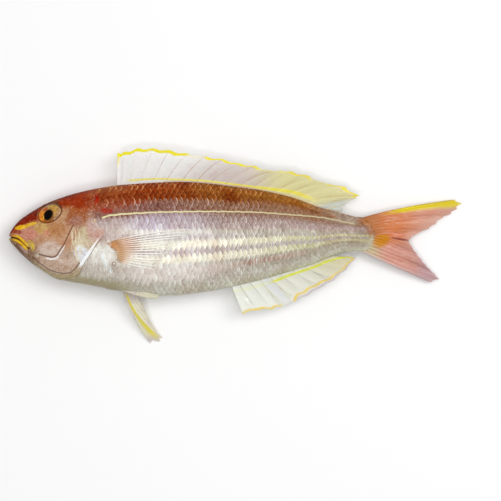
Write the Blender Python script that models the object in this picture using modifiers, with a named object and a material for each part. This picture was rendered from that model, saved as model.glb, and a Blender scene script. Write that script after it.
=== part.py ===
"""A whole raw threadfin bream with its fins spread, lying on its right side.

The fish is one living thing, so it is one solid: a fleshy body that carries the gill covers,
the lips, the eyes and all its fins. +X runs from the snout to the tail, +Y to the back and
+Z up, out of the left flank. Lengths in this file are millimetres until lay_down() turns
them into metres.

Each shape is first worked out on a straight, upright fish, as (station, height, side): the
distance behind the snout, the height in the plane of symmetry, and the distance out of that
plane, with the left flank positive. lay_down() then puts the fish on its side on the board.
"""

import math

import bmesh
import bpy
import numpy as np

METRES = 0.001

# Driving dimensions
TOTAL_LENGTH = 281.0
FLESH_LENGTH = 227.0
WIDEST_LEVEL = 0.47
EYE_DIAMETER = 14.0
LIP_RADIUS = 1.15
FLANK_ABOVE_BOARD = 0.5
COVER_ABOVE_BOARD = 0.3

SNOUT_X = -TOTAL_LENGTH / 2

# The outline of the back and of the belly, as (station, height)
BACK = (
    (0.0, 5.9), (0.9, 8.8), (2.5, 11.3), (6.2, 15.5), (12.4, 20.0), (24.8, 26.8), (43.4, 33.0),
    (68.2, 37.6), (105.4, 39.6), (148.8, 35.4), (173.6, 30.4), (192.2, 23.8), (207.7, 19.9),
    (215.8, 18.0), (227.0, 17.6),
)
BELLY = (
    (0.0, 5.9), (1.2, 2.0), (3.1, 0.0), (9.3, -6.6), (18.6, -14.0), (31.0, -20.9), (49.6, -24.5),
    (68.2, -27.8), (99.2, -30.8), (124.0, -27.8), (148.8, -22.6), (186.0, -11.8), (207.7, -3.6),
    (215.5, -2.9), (227.0, -3.6),
)
# Half of the thickness, and the height of the plane of symmetry above the board
HALF_WIDTH = (
    (0.0, 0.0), (1.5, 2.9), (6.2, 5.4), (12.4, 7.5), (24.8, 10.8), (49.6, 15.2), (80.0, 17.4),
    (118.0, 16.2), (160.0, 11.9), (200.0, 6.6), (215.0, 4.9), (227.0, 1.0),
)
MIDPLANE = (
    (0.0, 14.8), (40.0, 15.8), (130.0, 15.8), (180.0, 14.3), (215.0, 10.9), (240.0, 7.6),
    (262.0, 4.0), (282.0, 0.8),
)
# How round the section is: 2 is an ellipse, less is pointed towards the back, more is boxy
BACK_ROUNDNESS = ((0.0, 2.0), (26.0, 2.6), (60.0, 2.1), (90.0, 1.85), (227.0, 1.9))
BELLY_ROUNDNESS = ((0.0, 2.0), (40.0, 2.2), (120.0, 2.1), (227.0, 1.9))


def through(points, at):
    """Values at the places `at` of a smooth curve through (place, value) points. Its slope at a
    point is the harmonic mean of the slopes on either side, so that it never overshoots."""
    places, values = (np.array(column, float) for column in zip(*points))
    slopes = np.diff(values) / np.diff(places)
    before, after = slopes[:-1], slopes[1:]
    turns = before * after <= 0
    means = np.where(turns, 0.0, 2 * before * after / np.where(turns, 1.0, before + after))
    tangents = np.concatenate([slopes[:1], means, slopes[-1:]])
    at = np.clip(np.asarray(at, float), places[0], places[-1])
    i = np.clip(np.searchsorted(places, at) - 1, 0, len(slopes) - 1)
    step = places[i + 1] - places[i]
    t = (at - places[i]) / step
    return (
        values[i] * (1 + 2 * t) * (1 - t) ** 2
        + tangents[i] * step * t * (1 - t) ** 2
        + values[i + 1] * t**2 * (3 - 2 * t)
        + tangents[i + 1] * step * t**2 * (t - 1)
    )


def outline(points, station):
    """The same curve, worked out over the root of the station, which makes the snout round."""
    rooted = [(math.sqrt(place), value) for place, value in points]
    return through(rooted, np.sqrt(np.clip(station, 0.0, None)))


def section(station):
    """The height of the widest level, the height above it and the depth below it, and half of
    the width, at each station."""
    back, belly = outline(BACK, station), outline(BELLY, station)
    level = belly + WIDEST_LEVEL * (back - belly)
    return level, back - level, level - belly, outline(HALF_WIDTH, station)


def flank(station, height):
    """How far the skin lies out of the plane of symmetry, at a station and a height."""
    level, above, below, half_width = section(station)
    up = height > level
    share = np.abs(height - level) / np.where(up, above, below)
    power = np.where(up, through(BACK_ROUNDNESS, station), through(BELLY_ROUNDNESS, station))
    return half_width * np.clip(1 - np.clip(share, 0, 1) ** power, 0, 1) ** (1 / power)


def lay_down(points, lowest=0.0):
    """Upright millimetres to metres on the board, pressed up where they would go below it."""
    station, height, side = np.asarray(points, float).T
    up = np.maximum(through(MIDPLANE, station) + side, lowest)
    return np.stack([SNOUT_X + station, height, up], axis=1) * METRES


def move_vertices(bm, place):
    """Moves each vertex of a unit primitive to place(its x, y and z as three arrays)."""
    unit = np.array([v.co for v in bm.verts]).T
    for vertex, position in zip(bm.verts, place(*unit)):
        vertex.co = position


def new_object(name, bm, collection, material):
    """An object with this mesh, its faces pointing out and shaded smooth."""
    bmesh.ops.recalc_face_normals(bm, faces=bm.faces)
    mesh = bpy.data.meshes.new(name)
    bm.to_mesh(mesh)
    bm.free()
    mesh.shade_smooth()
    obj = bpy.data.objects.new(name, mesh)
    obj.data.materials.append(material)
    collection.objects.link(obj)
    return obj


def material(name, colour, roughness):
    made = bpy.data.materials.new(name)
    made.use_nodes = True
    shader = made.node_tree.nodes["Principled BSDF"]
    shader.inputs["Base Color"].default_value = (*colour, 1.0)
    shader.inputs["Roughness"].default_value = roughness
    shader.inputs["Metallic"].default_value = 0.0
    return made


# The body

BODY_SIDES = 38
BODY_RINGS = 58
RINGS_TO_THE_HEAD = 1.35


def make_body(collection, skin):
    """A sphere whose poles are the snout and the end of the flesh. Each ring takes the section
    of its station: above and below its widest level it is half of a superellipse."""

    def place(x, y, z):
        along = np.arccos(np.clip(z, -1, 1)) / math.pi
        last_ring = 1 - 1 / BODY_RINGS
        station = FLESH_LENGTH * np.clip(along / last_ring, 0, 1) ** RINGS_TO_THE_HEAD
        level, above, below, half_width = section(station)
        radius = np.hypot(x, y)
        on_ring = radius > 1e-6
        up = np.where(on_ring, y / np.where(on_ring, radius, 1), 0.0)
        out = np.where(on_ring, x / np.where(on_ring, radius, 1), 0.0)
        power = np.where(
            up > 0, through(BACK_ROUNDNESS, station), through(BELLY_ROUNDNESS, station)
        )
        height = level + np.where(up > 0, above, below) * np.sign(up) * np.abs(up) ** (2 / power)
        side = half_width * np.sign(out) * np.abs(out) ** (2 / power)
        return lay_down(np.stack([station, height, side], axis=1), FLANK_ABOVE_BOARD)

    bm = bmesh.new()
    bmesh.ops.create_uvsphere(bm, u_segments=BODY_SIDES, v_segments=BODY_RINGS, radius=1.0)
    move_vertices(bm, place)
    return new_object("fish", bm, collection, skin)


# Fins, as thin wavy sheets that carry their rays as ridges

MEMBRANE_SHARE = 0.55


def along(points, u):
    """A smooth curve through points of 3 coordinates, at shares u of the way."""
    shares = np.linspace(0, 1, len(points))
    return np.stack([through(tuple(zip(shares, c)), u) for c in zip(*points)], axis=1)


def make_fin(name, root, waist, rim, rays, rows, thickness, notch, collection, membrane):
    """A sheet through three lines, its root, its waist and its rim, each a list of (station,
    height, side) from the first ray to the last. Between two rays the sheet is thinner, and
    the rim is cut back by notch."""
    columns = 2 * rays - 2
    bm = bmesh.new()
    bmesh.ops.create_grid(bm, x_segments=columns, y_segments=rows, size=0.5)
    bmesh.ops.triangulate(bm, faces=bm.faces)
    grid = np.array([v.co for v in bm.verts])
    u, v = grid[:, 0] + 0.5, grid[:, 1] + 0.5
    on_ray = np.rint(u * columns).astype(int) % 2 == 0
    v = v * np.where(on_ray, 1.0, 1.0 - notch)
    points = (
        along(root, u) * ((1 - v) * (1 - 2 * v))[:, None]
        + along(waist, u) * (4 * v * (1 - v))[:, None]
        + along(rim, u) * (v * (2 * v - 1))[:, None]
    )
    move_vertices(bm, lambda *unit: lay_down(points))
    fin = new_object(name, bm, collection, membrane)
    thick = np.where(on_ray, 1.0, MEMBRANE_SHARE) * (1 - v * (1 - thickness[1] / thickness[0]))
    group = fin.vertex_groups.new(name="thickness")
    for index, weight in enumerate(thick):
        group.add([index], float(weight), "REPLACE")
    solid = fin.modifiers.new("Solidify", "SOLIDIFY")
    solid.thickness = thickness[0] * METRES
    solid.offset = 0.0
    solid.vertex_group = group.name
    return fin


ROOT_DEPTH = 3.0


def root_on(outline_points, first, last, sink, count=7):
    """A fin's root: points along the back or the belly, sunk into the flesh."""
    stations = np.linspace(first, last, count)
    heights = outline(outline_points, stations) + sink
    return [(s, h, 0.0) for s, h in zip(stations, heights)]


def halfway(root, rim, bow):
    """A waist halfway from the root to the rim, with the rays bowed backwards by bow."""
    shares = np.linspace(0, 1, 12)
    middle = (along(root, shares) + along(rim, shares)) / 2
    return [tuple(p + np.array([bow, 0.0, 0.0])) for p in middle]


def make_dorsal_fin(collection, membrane):
    """Ten spines and nine soft rays. The spines stand up, the last soft rays lie back."""
    root = root_on(BACK, 67.0, 205.0, -ROOT_DEPTH)
    rim = (
        (66.6, 56.6, -0.5), (76.5, 60.6, -1.0), (90.2, 61.0, -1.4), (106.0, 58.2, -1.8),
        (121.5, 55.8, -2.2), (137.0, 52.6, -2.6), (152.0, 49.4, -2.8), (165.5, 46.8, -3.0),
        (180.0, 45.0, -3.0), (192.0, 39.6, -3.0), (205.0, 38.2, -2.6), (216.8, 31.4, -2.2),
        (207.4, 20.8, -0.6),
    )
    waist = halfway(root, rim, -2.2)
    return make_fin(
        "dorsal", root, waist, rim, 20, 5, (1.7, 0.7), 0.06, collection, membrane
    )


def make_anal_fin(collection, membrane):
    """Three spines and seven soft rays, below the rear half of the body."""
    root = root_on(BELLY, 137.5, 205.0, ROOT_DEPTH)
    rim = (
        (144.6, -42.1, -1.0), (158.0, -39.6, -1.6), (171.1, -37.2, -2.2), (184.0, -31.6, -2.4),
        (197.0, -24.0, -2.4), (207.7, -15.5, -2.2), (215.0, -7.4, -1.6), (210.5, -5.6, -0.8),
    )
    waist = halfway(root, rim, -1.4)
    return make_fin("anal", root, waist, rim, 11, 4, (1.6, 0.7), 0.05, collection, membrane)


def make_tail_fin(collection, membrane):
    """Seventeen rays in two pointed lobes, the upper one longer."""
    root = ((213.0, 15.6, 0.0), (219.5, 11.0, 0.0), (221.0, 7.0, 0.0), (219.5, 3.0, 0.0),
            (213.0, -0.8, 0.0))
    waist = ((242.5, 24.6, 0.4), (239.5, 18.4, 0.9), (236.0, 12.3, 0.6), (233.6, 6.9, 0.0),
             (234.2, 1.8, 0.6), (236.6, -4.9, 0.9), (238.8, -12.2, 0.4))
    rim = ((280.6, 26.4, 0.0), (266.4, 17.6, 0.0), (253.8, 8.6, 0.0), (247.6, 3.9, 0.0),
           (254.8, -3.0, 0.0), (261.4, -12.6, 0.0), (266.6, -21.0, 0.0))
    return make_fin("tail", root, waist, rim, 17, 7, (2.0, 0.7), 0.02, collection, membrane)


def make_pelvic_fins(collection, membrane):
    """The right one is spread and droops to the board. The left one is folded along the belly."""
    spread_root = ((69.6, -25.4, -3.0), (71.8, -25.7, -2.8), (74.0, -26.0, -2.6),
                   (76.0, -26.2, -2.4))
    spread_waist = ((76.2, -43.0, -7.6), (79.3, -43.4, -7.2), (79.8, -38.0, -6.0),
                    (79.0, -31.2, -3.4))
    spread_rim = ((86.6, -60.5, -14.9), (95.0, -58.4, -14.9), (88.6, -49.6, -12.0),
                  (82.6, -36.5, -4.4))
    make_fin("pelvic_right", spread_root, spread_waist, spread_rim, 6, 7, (1.5, 0.8), 0.06,
             collection, membrane)
    folded_root = ((69.0, -26.8, 4.4), (71.0, -26.2, 4.8), (73.0, -25.6, 5.2))
    folded_rim = ((91.6, -32.8, 2.6), (93.0, -31.6, 3.4), (93.6, -30.2, 4.8))
    folded_waist = ((80.0, -30.8, 3.4), (81.5, -29.6, 4.6), (83.0, -28.0, 6.0))
    make_fin("pelvic_left", folded_root, folded_waist, folded_rim, 6, 4, (1.5, 0.8), 0.03,
             collection, membrane)


PECTORAL_ROOT = ((62.6, 2.4), (64.2, -2.0), (66.0, -7.0), (67.2, -12.6))
PECTORAL_RIM = ((116.0, 9.6), (111.0, 4.4), (103.0, -1.0), (95.0, -7.4), (86.0, -14.0))


def make_left_pectoral_fin(collection, membrane):
    """Sixteen rays in a fan, laid back on the flank and just lifted off it at the rim."""

    def on_flank(points, out):
        return [(s, h, flank(s, h) + out) for s, h in points]

    middle = [
        tuple((np.array(a) + np.array(b)) / 2)
        for a, b in zip(
            [tuple(p[:2]) for p in along([(*q, 0.0) for q in PECTORAL_ROOT], np.linspace(0, 1, 5))],
            PECTORAL_RIM,
        )
    ]
    make_fin(
        "pectoral_left", on_flank(PECTORAL_ROOT, 0.2), on_flank(middle, 0.5),
        on_flank(PECTORAL_RIM, 0.5), 16, 5, (1.8, 1.3), 0.02, collection, membrane,
    )


UNDER_FIN_THICKNESS = 1.4


def make_right_pectoral_fin(collection, membrane):
    """The same fan under the fish, pressed flat between the flank and the board."""
    bm = bmesh.new()
    bmesh.ops.create_grid(bm, x_segments=14, y_segments=1, size=0.5)
    grid = np.array([v.co for v in bm.verts])
    root = along([(*q, 0.0) for q in PECTORAL_ROOT], grid[:, 0] + 0.5)
    rim = along([(*q, 0.0) for q in PECTORAL_RIM], grid[:, 0] + 0.5)
    points = np.where((grid[:, 1] > 0)[:, None], rim, root)
    flat = np.stack([SNOUT_X + points[:, 0], points[:, 1], np.zeros(len(points))], axis=1)
    move_vertices(bm, lambda *unit: flat * METRES)
    fin = new_object("pectoral_right", bm, collection, membrane)
    solid = fin.modifiers.new("Solidify", "SOLIDIFY")
    solid.thickness = UNDER_FIN_THICKNESS * METRES
    solid.offset = 1.0 if fin.data.polygons[0].normal.z > 0 else -1.0
    return fin


# The head: gill covers, lips and eyes

COVER_EDGE = (
    (54.5, 20.6), (58.3, 15.0), (58.6, 8.0), (56.0, 3.0), (51.5, -2.6), (48.0, -8.0),
    (45.6, -13.0), (41.6, -17.2), (34.0, -19.2), (25.0, -16.6),
)
COVER_MIDDLE = (38.0, 2.0)
CHEEK_EDGE = (
    (43.2, 14.2), (39.2, 9.2), (36.0, 3.6), (33.2, -1.4), (30.2, -6.0), (25.0, -8.2),
    (18.0, -7.4),
)
CHEEK_MIDDLE = (27.0, 4.5)
PLATE_THICKNESS = 2.6


def make_plate(name, edge, middle, lift, reach, side, collection, skin):
    """A bony plate of the cheek: from its free edge, which stands off the flank by lift, it runs
    a share `reach` of the way towards its middle and sinks into the flesh."""
    bm = bmesh.new()
    bmesh.ops.create_grid(bm, x_segments=14, y_segments=3, size=0.5)
    bmesh.ops.triangulate(bm, faces=bm.faces)
    grid = np.array([v.co for v in bm.verts])
    u, v = grid[:, 0] + 0.5, grid[:, 1] + 0.5
    rim = along([(*q, 0.0) for q in edge], u)[:, :2]
    inner = rim + (np.array(middle) - rim) * reach
    spot = rim * (1 - v)[:, None] + inner * v[:, None]
    ends = np.clip(np.minimum(u, 1 - u) / 0.12, 0, 1)
    out = flank(spot[:, 0], spot[:, 1]) + (lift + 0.4) * (1 - v) * ends - 0.4
    points = np.column_stack([spot, side * out])
    move_vertices(bm, lambda *unit: lay_down(points, COVER_ABOVE_BOARD))
    plate = new_object(name, bm, collection, skin)
    faces_out = sum(p.normal.z for p in plate.data.polygons) * side > 0
    solid = plate.modifiers.new("Solidify", "SOLIDIFY")
    solid.thickness = PLATE_THICKNESS * METRES
    solid.offset = -1.0 if faces_out else 1.0
    return plate


UPPER_LIP = ((15.2, -0.6), (12.6, 0.9), (9.8, 3.0), (6.6, 5.0), (3.4, 6.2), (1.2, 6.8))
LOWER_LIP = ((12.6, -1.6), (9.6, 0.2), (6.2, 2.2), (3.0, 3.6), (1.0, 4.2))


def make_lip(name, half, collection, skin):
    """A tube along one lip, from its corner on the left, round the snout, to the right."""
    left = [(s, h, float(flank(s, h)) - 0.2 * LIP_RADIUS) for s, h in half]
    front = [(0.3 * LIP_RADIUS, half[-1][1], 0.0)]
    route = left + front + [(s, h, -side) for s, h, side in reversed(left)]
    curve = bpy.data.curves.new(name, "CURVE")
    curve.dimensions = "3D"
    curve.bevel_depth = LIP_RADIUS * METRES
    curve.bevel_resolution = 1
    curve.use_fill_caps = True
    spline = curve.splines.new("POLY")
    spline.points.add(len(route) - 1)
    for point, position in zip(spline.points, lay_down(route)):
        point.co = (*position, 1.0)
    tube = bpy.data.objects.new(name, curve)
    collection.objects.link(tube)
    evaluated = tube.evaluated_get(bpy.context.evaluated_depsgraph_get())
    bm = bmesh.new()
    bm.from_mesh(bpy.data.meshes.new_from_object(evaluated))
    bmesh.ops.remove_doubles(bm, verts=bm.verts, dist=0.00001)
    bpy.data.objects.remove(tube)
    return new_object(name, bm, collection, skin)


EYE_STATION, EYE_HEIGHT = 25.6, 20.1
EYE_DEPTH = 4.4
EYE_SUNK = 2.9
EYE_TILT = math.radians(17)


def make_eye(name, side, collection, eye):
    """A flattened ball that looks sideways and a little up."""

    def place(x, y, z):
        radius = EYE_DIAMETER / 2
        station = EYE_STATION + x * radius
        height = y * radius * 0.94
        out = z * EYE_DEPTH
        centre_out = float(flank(EYE_STATION, EYE_HEIGHT)) - EYE_SUNK
        turned_height = EYE_HEIGHT + height * math.cos(EYE_TILT) + out * math.sin(EYE_TILT)
        turned_out = centre_out + out * math.cos(EYE_TILT) - height * math.sin(EYE_TILT)
        return lay_down(np.stack([station, turned_height, side * turned_out], axis=1))

    bm = bmesh.new()
    bmesh.ops.create_uvsphere(bm, u_segments=18, v_segments=8, radius=1.0)
    move_vertices(bm, place)
    return new_object(name, bm, collection, eye)


def fuse(body, grown):
    """Joins everything in the collection `grown` to the body, and removes the joined objects."""
    join = body.modifiers.new("Union", "BOOLEAN")
    join.operation = "UNION"
    join.operand_type = "COLLECTION"
    join.collection = grown
    join.solver = "EXACT"
    graph = bpy.context.evaluated_depsgraph_get()
    whole = bpy.data.meshes.new_from_object(body.evaluated_get(graph))
    body.modifiers.clear()
    body.data = whole
    for obj in list(grown.objects):
        bpy.data.objects.remove(obj)
    bpy.data.collections.remove(grown)


def main():
    for obj in list(bpy.data.objects):
        bpy.data.objects.remove(obj)
    fish = bpy.data.collections.new("whole_raw_fish")
    grown = bpy.data.collections.new("grown_on_the_body")
    for collection in (fish, grown):
        bpy.context.scene.collection.children.link(collection)
    skin = material("skin", (0.62, 0.50, 0.45), 0.3)
    membrane = material("membrane", (0.80, 0.72, 0.48), 0.4)
    eye = material("eye", (0.05, 0.04, 0.03), 0.1)

    body = make_body(fish, skin)
    make_dorsal_fin(grown, membrane)
    make_anal_fin(grown, membrane)
    make_tail_fin(grown, membrane)
    make_pelvic_fins(grown, membrane)
    make_left_pectoral_fin(grown, membrane)
    make_right_pectoral_fin(grown, membrane)
    for word, side in (("left", 1), ("right", -1)):
        make_plate(f"gill_cover_{word}", COVER_EDGE, COVER_MIDDLE, 1.0, 0.5, side, grown, skin)
        make_plate(f"cheek_{word}", CHEEK_EDGE, CHEEK_MIDDLE, 0.6, 0.5, side, grown, skin)
        make_eye(f"eye_{word}", side, grown, eye)
    make_lip("upper_lip", UPPER_LIP, grown, skin)
    make_lip("lower_lip", LOWER_LIP, grown, skin)
    fuse(body, grown)


main()
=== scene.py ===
"""The looks of a whole raw threadfin bream, lying on its right side on a pale table.

Shapes are worked out on a straight, upright fish in millimetres, as (station, height, side): the
distance behind the snout, the height in the plane of symmetry, and the distance out of it, with
the left flank positive. lay_down() puts them on the table, in metres.
"""

import math

import bpy
import numpy as np
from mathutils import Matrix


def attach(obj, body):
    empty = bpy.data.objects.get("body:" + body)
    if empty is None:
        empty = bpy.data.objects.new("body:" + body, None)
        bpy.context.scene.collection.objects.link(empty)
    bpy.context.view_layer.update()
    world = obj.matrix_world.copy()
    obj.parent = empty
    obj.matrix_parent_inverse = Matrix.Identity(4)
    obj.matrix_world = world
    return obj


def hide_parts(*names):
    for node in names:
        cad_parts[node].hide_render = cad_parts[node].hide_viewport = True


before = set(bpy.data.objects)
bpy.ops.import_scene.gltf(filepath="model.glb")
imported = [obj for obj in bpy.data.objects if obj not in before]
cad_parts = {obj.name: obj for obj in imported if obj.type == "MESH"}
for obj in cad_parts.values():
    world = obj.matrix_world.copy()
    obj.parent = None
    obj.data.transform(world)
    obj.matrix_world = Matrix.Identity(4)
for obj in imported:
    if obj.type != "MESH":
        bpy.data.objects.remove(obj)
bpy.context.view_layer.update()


# The trunk: the flesh of the fish in its skin, from the snout to the root of the tail. It
# carries everything else. What shows of it is the throat and the thin skin between the scales.
# The gill edge, by shares down the side, is the end of the head. Below GILL_OPEN it is loose.

TOTAL_LENGTH = 281.0
FLESH_LENGTH, TAPER_FROM = 227.0, 212.0
WIDEST_LEVEL = 0.47
BACK = (
    (0.0, 5.9), (0.9, 8.8), (2.5, 11.3), (6.2, 15.5), (12.4, 20.0), (24.8, 26.8), (43.4, 33.0),
    (68.2, 37.6), (105.4, 39.6), (148.8, 35.4), (173.6, 30.4), (192.2, 23.8), (207.7, 19.9),
    (215.8, 18.0), (227.0, 17.6),
)
BELLY = (
    (0.0, 5.9), (1.2, 2.0), (3.1, 0.0), (9.3, -6.6), (18.6, -14.0), (31.0, -20.9), (49.6, -24.5),
    (68.2, -27.8), (99.2, -30.8), (124.0, -27.8), (148.8, -22.6), (186.0, -11.8), (207.7, -3.6),
    (215.5, -2.9), (227.0, -3.6),
)
HALF_WIDTH = (
    (0.0, 0.0), (1.5, 2.9), (6.2, 5.4), (12.4, 7.5), (24.8, 10.8), (49.6, 15.2), (80.0, 17.4),
    (118.0, 16.2), (160.0, 11.9), (200.0, 6.6), (215.0, 4.9), (227.0, 1.0),
)
MIDPLANE = (
    (0.0, 14.8), (40.0, 15.8), (130.0, 15.8), (180.0, 14.3), (215.0, 10.9), (240.0, 7.6),
    (262.0, 4.0), (282.0, 0.8),
)
BACK_ROUNDNESS = ((0.0, 2.0), (26.0, 2.6), (60.0, 2.1), (90.0, 1.85), (227.0, 1.9))
BELLY_ROUNDNESS = ((0.0, 2.0), (40.0, 2.2), (120.0, 2.1), (227.0, 1.9))


def through(points, at):
    """Values at `at` of a smooth curve through (place, value) points. Its slope at a point is
    the harmonic mean of the slopes on either side, so it never overshoots."""
    places, values = (np.array(column, float) for column in zip(*points))
    slopes = np.diff(values) / np.diff(places)
    before, after = slopes[:-1], slopes[1:]
    turns = before * after <= 0
    means = np.where(turns, 0.0, 2 * before * after / np.where(turns, 1.0, before + after))
    tangents = np.concatenate([slopes[:1], means, slopes[-1:]])
    at = np.clip(np.asarray(at, float), places[0], places[-1])
    i = np.clip(np.searchsorted(places, at) - 1, 0, len(slopes) - 1)
    step = places[i + 1] - places[i]
    t = (at - places[i]) / step
    return (
        values[i] * (1 + 2 * t) * (1 - t) ** 2
        + tangents[i] * step * t * (1 - t) ** 2
        + values[i + 1] * t**2 * (3 - 2 * t)
        + tangents[i + 1] * step * t**2 * (t - 1)
    )


def outline(points, station):
    """The same curve worked out over the root of the station, which makes the snout round."""
    rooted = [(math.sqrt(place), value) for place, value in points]
    return through(rooted, np.sqrt(np.clip(station, 0.0, None)))


def half_width(station, height):
    """Half of the thickness at the widest level. It is rounded off to a thin edge where the
    flesh ends in the root of the tail fin, in a line that bulges towards the tail."""
    end = FLESH_LENGTH - 5.0 * np.minimum(((height - 7.0) / 10.6) ** 2, 1.0)
    past = np.clip((station - TAPER_FROM) / (end - TAPER_FROM), 0, 1)
    return outline(HALF_WIDTH, station) * np.sqrt(np.maximum(1 - past**2, 0.02))


def on_section(station, angle):
    """Height and distance out of the plane of symmetry on the section at a station: above and
    below its widest level it is half of a superellipse, and the angle is 90 degrees at the back
    and -90 at the belly."""
    back, belly = outline(BACK, station), outline(BELLY, station)
    level = belly + WIDEST_LEVEL * (back - belly)
    up, out = np.sin(angle), np.abs(np.cos(angle))
    power = np.where(
        up > 0, through(BACK_ROUNDNESS, station), through(BELLY_ROUNDNESS, station)
    )
    reach = np.where(up > 0, back - level, level - belly)
    height = level + reach * np.sign(up) * np.abs(up) ** (2 / power)
    return height, half_width(station, height) * out ** (2 / power)


TABLE_STATIONS = np.linspace(0, FLESH_LENGTH, 228)
TABLE_SHARES = np.linspace(0, 1, 81)


def table_of_angles():
    """The angle at equal steps along the skin from the back to the belly, for many stations.
    Lengths along the skin are summed over small steps of angle, then read the other way."""
    angle = np.radians(np.linspace(90, -90, 721))
    height, out = on_section(TABLE_STATIONS[:, None], angle[None, :])
    steps = np.hypot(np.diff(height, axis=1), np.diff(out, axis=1)) + 1e-9
    length = np.concatenate([np.zeros((len(height), 1)), np.cumsum(steps, axis=1)], axis=1)
    return np.array([np.interp(TABLE_SHARES * row[-1], row, angle) for row in length])


ANGLES = table_of_angles()


def on_skin(station, share, side):
    """The point on the skin at a station and a share of the way along the skin from the back to
    the belly, on the left (side 1) or on the right (side -1)."""
    station, share, side = np.broadcast_arrays(
        np.clip(np.asarray(station, float), 0, FLESH_LENGTH), np.clip(share, 0, 1), side
    )
    row = station / FLESH_LENGTH * (len(TABLE_STATIONS) - 1)
    column = share * (len(TABLE_SHARES) - 1)
    r = np.minimum(row.astype(int), len(TABLE_STATIONS) - 2)
    c = np.minimum(column.astype(int), len(TABLE_SHARES) - 2)
    p, q = row - r, column - c
    angle = (
        ANGLES[r, c] * (1 - p) * (1 - q) + ANGLES[r + 1, c] * p * (1 - q)
        + ANGLES[r, c + 1] * (1 - p) * q + ANGLES[r + 1, c + 1] * p * q
    )
    height, out = on_section(station, angle)
    return np.stack([station, height, side * out], axis=-1)


def unit(vectors):
    return vectors / np.maximum(np.linalg.norm(vectors, axis=-1, keepdims=True), 1e-12)


def skin_normal(station, share, side):
    """The direction out of the skin: the cross product of two short steps along it."""
    along = on_skin(station + 0.6, share, side) - on_skin(station - 0.6, share, side)
    down = on_skin(station, share + 0.012, side) - on_skin(station, share - 0.012, side)
    return unit(np.cross(along, down)) * -np.asarray(side, float)[..., None]


def above_skin(station, share, side, lift):
    """A point of the skin, moved out of it by lift."""
    station, share, side, lift = np.broadcast_arrays(
        np.asarray(station, float), np.asarray(share, float), side, lift
    )
    return on_skin(station, share, side) + skin_normal(station, share, side) * lift[..., None]


def bands_of(points):
    """The share of the length behind the snout, and the share of the depth below the back."""
    station, height = points[..., 0], points[..., 1]
    back, belly = outline(BACK, station), outline(BELLY, station)
    down = (back - height) / np.maximum(back - belly, 0.5)
    return np.stack([station / FLESH_LENGTH, np.clip(down, 0, 1)], axis=-1)


def lay_down(points, lowest):
    """Upright millimetres to metres on the table, pressed up where they would go below it."""
    station, height, side = np.asarray(points, float).reshape(-1, 3).T
    up = np.maximum(through(MIDPLANE, station) + side, lowest)
    return np.stack([station - TOTAL_LENGTH / 2, height, up], axis=1) * 0.001


def ring_faces(rows, columns):
    """Faces of a skin of closed rings, one after another, with a pole at each end. The first
    pole is point rows * columns and the last pole is the one after it."""
    i = np.arange(rows * columns).reshape(rows, columns)
    nxt = np.roll(i, -1, axis=1)
    quads = np.stack([i[:-1], nxt[:-1], nxt[1:], i[1:]], axis=-1).reshape(-1, 4)
    first, last = np.full(columns, rows * columns), np.full(columns, rows * columns + 1)
    ends = [np.stack([nxt[0], i[0], first], axis=-1), np.stack([i[-1], nxt[-1], last], axis=-1)]
    return quads, np.concatenate(ends)


def repeated(faces, times, points_each):
    """The same faces for each of many like shapes whose points follow one another."""
    return (faces[None] + (np.arange(times) * points_each)[:, None, None]).reshape(
        -1, faces.shape[1]
    )


def make_piece(name, points, quads, triangles, maps, lowest=0.35):
    """A mesh object from upright points, with one UV map for each entry of `maps`, each a pair
    of numbers for every point. Its faces are turned outwards if its volume is negative."""
    laid = lay_down(points, lowest)
    corners = np.concatenate([quads[:, [0, 1, 2]], quads[:, [0, 2, 3]], triangles])
    a, b, c = (laid[corners[:, k]] for k in range(3))
    if np.einsum("ij,ij->", a, np.cross(b, c)) < 0:
        quads, triangles = quads[:, ::-1], triangles[:, ::-1]
    mesh = bpy.data.meshes.new(name)
    mesh.from_pydata(laid.tolist(), [], quads.tolist() + triangles.tolist())
    order = np.empty(len(mesh.loops), int)
    mesh.loops.foreach_get("vertex_index", order)
    for map_name, values in maps.items():
        layer = mesh.uv_layers.new(name=map_name)
        values = np.asarray(values, float).reshape(-1, 2)
        layer.uv.foreach_set("vector", values[order].astype(np.float32).ravel())
    mesh.shade_smooth()
    mesh.set_sharp_from_angle(angle=math.radians(75))
    made = bpy.data.objects.new(name, mesh)
    bpy.context.scene.collection.objects.link(made)
    return made


def wear(piece, material):
    """Gives a piece its material, and says what it moves with."""
    piece.data.materials.append(material)
    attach(piece, "root")


def rgb(red, green, blue):
    """A colour from 0 to 255 as it looks on a screen, as the linear colour a shader takes."""
    share = np.array([red, green, blue]) / 255
    linear = np.where(share <= 0.04045, share / 12.92, ((share + 0.055) / 1.055) ** 2.4)
    return (*linear.tolist(), 1.0)


def turned(x, y, angle):
    """A place seen along and across axes that are turned by an angle in degrees."""
    c, s = math.cos(math.radians(angle)), math.sin(math.radians(angle))
    return x * c + y * s, y * c - x * s


class Sock:
    """A shader socket that takes part in arithmetic: each operator adds a Math node."""

    def __init__(self, paint, socket):
        self.paint, self.socket = paint, socket

    def math(self, operation, *values):
        return self.paint.node(
            "ShaderNodeMath", {"operation": operation}, dict(enumerate(values))
        )

    def __add__(self, other):
        return self.math("ADD", self, other)

    def __sub__(self, other):
        return self.math("SUBTRACT", self, other)

    def __rsub__(self, other):
        return self.math("SUBTRACT", other, self)

    def __mul__(self, other):
        return self.math("MULTIPLY", self, other)

    def __truediv__(self, other):
        return self.math("DIVIDE", self, other)

    def __pow__(self, other):
        return self.math("POWER", self, other)

    def __abs__(self):
        return self.math("ABSOLUTE", self)

    __radd__, __rmul__ = __add__, __mul__


MIX_SHARE, MIX_FIRST, MIX_SECOND, MIX_COLOUR = 0, 6, 7, 2


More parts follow.
